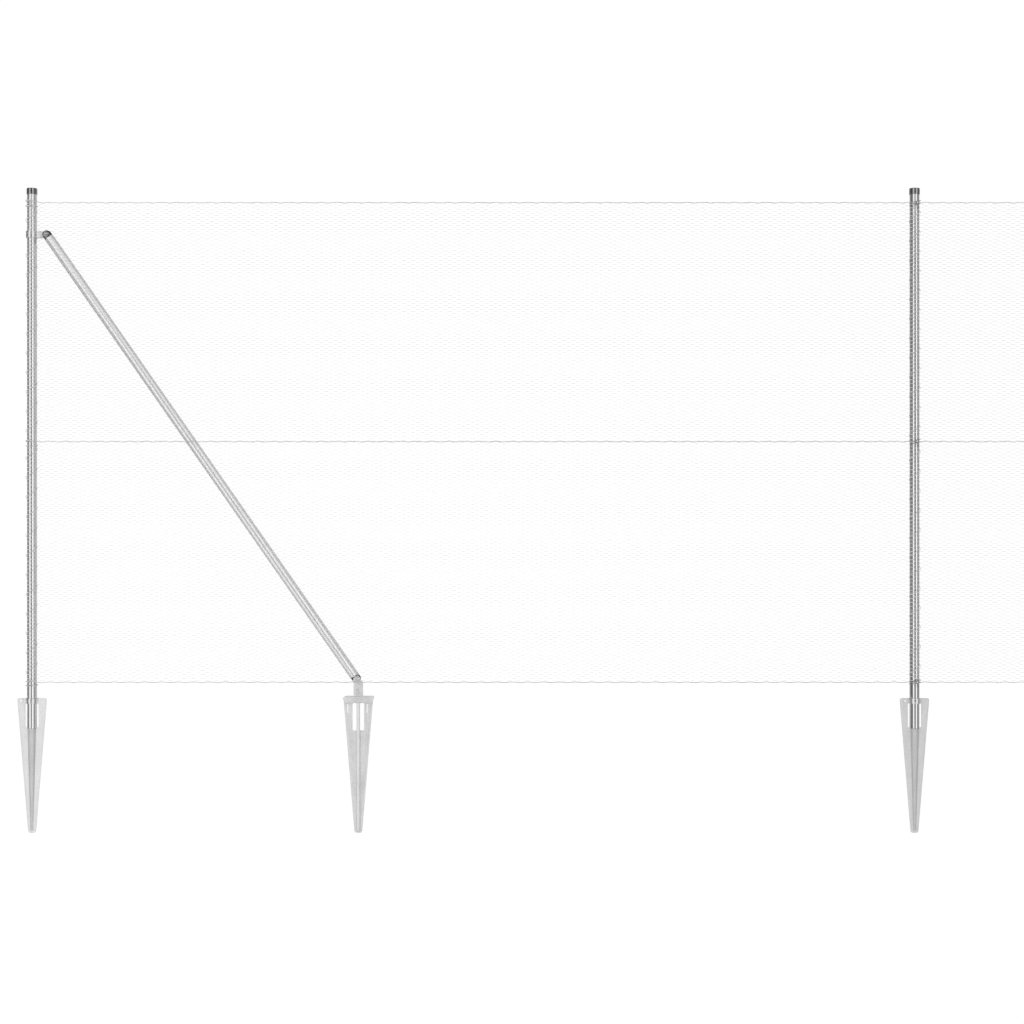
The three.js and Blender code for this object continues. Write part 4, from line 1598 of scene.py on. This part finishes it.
@dataclass
class Wires(Group):
    """Line wires, the ties at the right post and the lacing round both posts."""

    seat_gap: float = 0.3
    netting_front: float = 17.7
    fence_end: float = 3311.7
    line_diameter: float = 2.2
    tie_diameter: float = 1.6
    lacing_diameter: float = 1.4
    wave: float = 1.2
    wave_length: float = 53.0
    squareness: float = 8.0
    slant: float = 12.0
    heights: tuple[tuple[Level, float], ...] = (
        (Level.TOP, 1751.6), (Level.MIDDLE, 956.0), (Level.BOTTOM, 154.6),
    )
    turns_at: tuple[tuple[Level, float, float], ...] = (
        (Level.TOP, 9.0, -9.7), (Level.MIDDLE, 3.0, -14.0), (Level.BOTTOM, 3.0, -12.0),
    )
    line_start: float = 40.0
    line_turns: float = 2.5
    line_pace: float = 0.92
    climb: tuple[float, float] = (0.15, 0.7)
    turn_steps: int = 24
    tie_gap: float = 4.0
    knot_radius: float = 5.4
    left_knot: tuple[float, float] = (-6.7, 2.5)
    right_knot: tuple[float, float] = (5.2, 1.2)
    knot_levels: tuple[float, float] = (-0.4, 0.5)
    tail_start: tuple[float, float, float] = (7.0, -5.0, -0.9)
    tail_step: tuple[float, float, float] = (0.15, -0.62, 0.0)
    tail_twist: tuple[float, float, float] = (0.8, 0.3, 0.8)
    tail_steps: int = 21
    tail_turns: float = 2.0
    coil_place: tuple[float, float, float] = (5.0, 1.0, 0.6)
    coil_radius: float = 1.25
    runs: tuple[tuple[Side, str, float, int], ...] = (
        (Side.LEFT, "lower", 165.0, 12), (Side.LEFT, "upper", 970.25, 10), (Side.LEFT, "top", 1673.25, 1),
        (Side.RIGHT, "lower", 165.0, 12), (Side.RIGHT, "upper", 963.0, 12),
    )
    pitch: float = 65.0
    lacing_steps: int = 40
    smooth: float = 60.0

    def round_post(self, angle: float, side_reach: float, front_reach: float) -> tuple[float, float]:
        """Gives a point of a turn round a post and over the netting.

        Args:
            angle: where on the turn, with a quarter turn at the front.
            side_reach: radius beside and behind the post.
            front_reach: height of the front of the turn above the post's axis.

        Returns:
            X and Z from the post's axis, in millimetres.
        """
        reach = side_reach
        if math.sin(angle) > 0:
            across = (abs(math.cos(angle)) / side_reach) ** self.squareness
            front = (math.sin(angle) / front_reach) ** self.squareness
            reach = (across + front) ** (-1 / self.squareness)
        return reach * math.cos(angle), reach * math.sin(angle)

    def build(self) -> None:
        """Makes all wires."""
        for level, y in self.heights:
            self.line(level, y)
            self.tie(level, y)
        for side, place, start, turns in self.runs:
            self.lacing(side, place, start, turns)

    def reaches(self, radius: float) -> tuple[float, float]:
        """Gives how far the middle of a wire lies beside a post and in front of the netting."""
        return JOINTS.tube_radius + self.seat_gap + radius, self.netting_front + self.seat_gap + radius

    def eye(self, x: float, y: float, z: float, radius: float, steps: int = 24) -> list[Vector]:
        """Gives the points of a round eye that lies flat, from millimetres."""
        return [self.ground.at(px, py, z) for px, py in circle_outline(x, y, radius, steps)]

    def line(self, level: Level, y: float) -> None:
        """Makes one wavy line wire that ends in turns round the left post.

        Args:
            level: which wire it is.
            y: its height.
        """
        side, front = self.reaches(self.line_diameter / 2)
        points = []
        length = self.fence_end - self.line_start
        steps = int(length / self.wave_length * 10)
        for step in range(steps + 1):
            x = self.fence_end - length * step / steps
            sway = self.wave * math.sin(2 * math.pi * x / self.wave_length)
            points.append(self.ground.at(x, y + sway, front))
        first, second = next(pair[1:] for pair in self.turns_at if pair[0] is level)
        heights = (first, second, second)
        for step in range(int(self.line_turns * self.turn_steps) + 1):
            turn = step / self.turn_steps
            px, pz = self.round_post(math.pi / 2 + turn * 2 * math.pi * self.line_pace, side, front)
            whole = min(int(turn), 1)
            share = min(max((turn - whole - self.climb[0]) / self.climb[1], 0.0), 1.0)
            rise = heights[whole] + (heights[whole + 1] - heights[whole]) * share
            points.append(self.ground.at(px, y + rise, pz))
        eye = self.eye(self.left_knot[0], y + self.left_knot[1], front, self.knot_radius)
        parts = [wire(points, self.line_diameter), wire(eye, self.tie_diameter, True)]
        name, node = f"wire_run_{level.value}", f"line_wire_{level.value}"
        finish_piece(parts, name, self.finishes.wire, [node], self.smooth)

    def tie(self, level: Level, y: float) -> None:
        """Makes one tie at the right post: two slanting turns and a twisted knot on their front, in a dark
        wire whose colour paints the shade round the loops.

        Args:
            level: which wire it binds.
            y: that wire's height.
        """
        x = self.ground.post_x(Side.RIGHT)
        radius = self.tie_diameter / 2
        slant = math.radians(self.slant)
        side = self.reaches(radius)[0] / math.cos(slant)
        line_front = self.netting_front + self.seat_gap + self.line_diameter
        front = line_front + self.seat_gap + radius
        parts = []
        for shift in (-self.tie_gap, self.tie_gap):
            points = []
            for step in range(2 * self.turn_steps):
                px, pz = self.round_post(step / self.turn_steps * math.pi, side, front)
                across, up = px * math.cos(slant), px * math.sin(slant)
                points.append(self.ground.at(x + across, y + shift + up, pz))
            parts.append(wire(points, self.tie_diameter, True))
        for level_z in self.knot_levels:
            knot_x, knot_y = self.right_knot
            eye = self.eye(x + knot_x, y + knot_y, line_front + level_z, self.knot_radius)
            parts.append(wire(eye, self.tie_diameter, True))
        for phase in (0.0, math.pi):
            tail = []
            for step in range(self.tail_steps + 1):
                turn = phase + step / self.tail_steps * 2 * math.pi * self.tail_turns
                twist = Vector((math.cos(turn), math.cos(turn), math.sin(turn))) * Vector(self.tail_twist)
                place = Vector(self.tail_start) + Vector(self.tail_step) * step + twist
                tail.append(self.ground.at(x + place.x, y + place.y, line_front + place.z))
            parts.append(wire(tail, self.tie_diameter * 0.9))
        name, node = f"tie_turn_{level.value}", f"tie_wire_{level.value}"
        # The tie's dark finish is painted shade round its loops.
        finish_piece(parts, name, self.finishes.knot, [node], self.smooth)
        coil_x, coil_y, coil_z = self.coil_place
        coil = self.eye(x + coil_x, y + coil_y, line_front + coil_z, self.coil_radius, 20)
        end = wire(coil, 2 * self.coil_radius - 0.4, True)
        screw = self.finishes.screw
        finish_piece([end], f"tie_coil_{level.value}", screw, [], self.smooth)

    def lacing(self, side: Side, place: str, start: float, turns: int) -> None:
        """Winds one run of lacing wire round a post.

        Args:
            side: which post.
            place: the run's name.
            start: height of its start.
            turns: number of its turns.
        """
        x = self.ground.post_x(side)
        reach, front = self.reaches(self.lacing_diameter / 2)
        points = []
        for step in range(turns * self.lacing_steps + 1):
            turn = step / self.lacing_steps
            px, pz = self.round_post(-math.pi / 2 - turn * 2 * math.pi, reach, front)
            points.append(self.ground.at(x + px, start + turn * self.pitch, pz))
        run, end = wire(points, self.lacing_diameter), f"{side.value}_{place}"
        zinc, node = self.finishes.wire, f"lacing_{end}"
        finish_piece([run], f"lacing_turns_{end}", zinc, [node], self.smooth)


def main() -> None:
    """Builds the studio and every piece of the fence, in order."""
    logging.basicConfig(level=logging.INFO, format="%(name)s %(message)s")
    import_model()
    ground = Ground.from_frame()
    finishes = Finishes(JOINTS.lean)
    Studio(Vector((*PICTURE_MIDDLE, ground.origin.z))).build()
    shape = SpikeShape()
    builders = (
        Posts(ground, finishes),
        PostAnchors(ground, finishes, shape),
        BraceAnchor(ground, finishes, shape),
        Brace(ground, finishes),
        Clamp(ground, finishes),
        FootPlates(ground, finishes),
        Fasteners(ground, finishes),
        Netting(ground, finishes),
        Wires(ground, finishes),
    )
    for builder in builders:
        log.info("building %s", type(builder).__name__)
        builder.build()


if __name__ == "__main__":
    main()
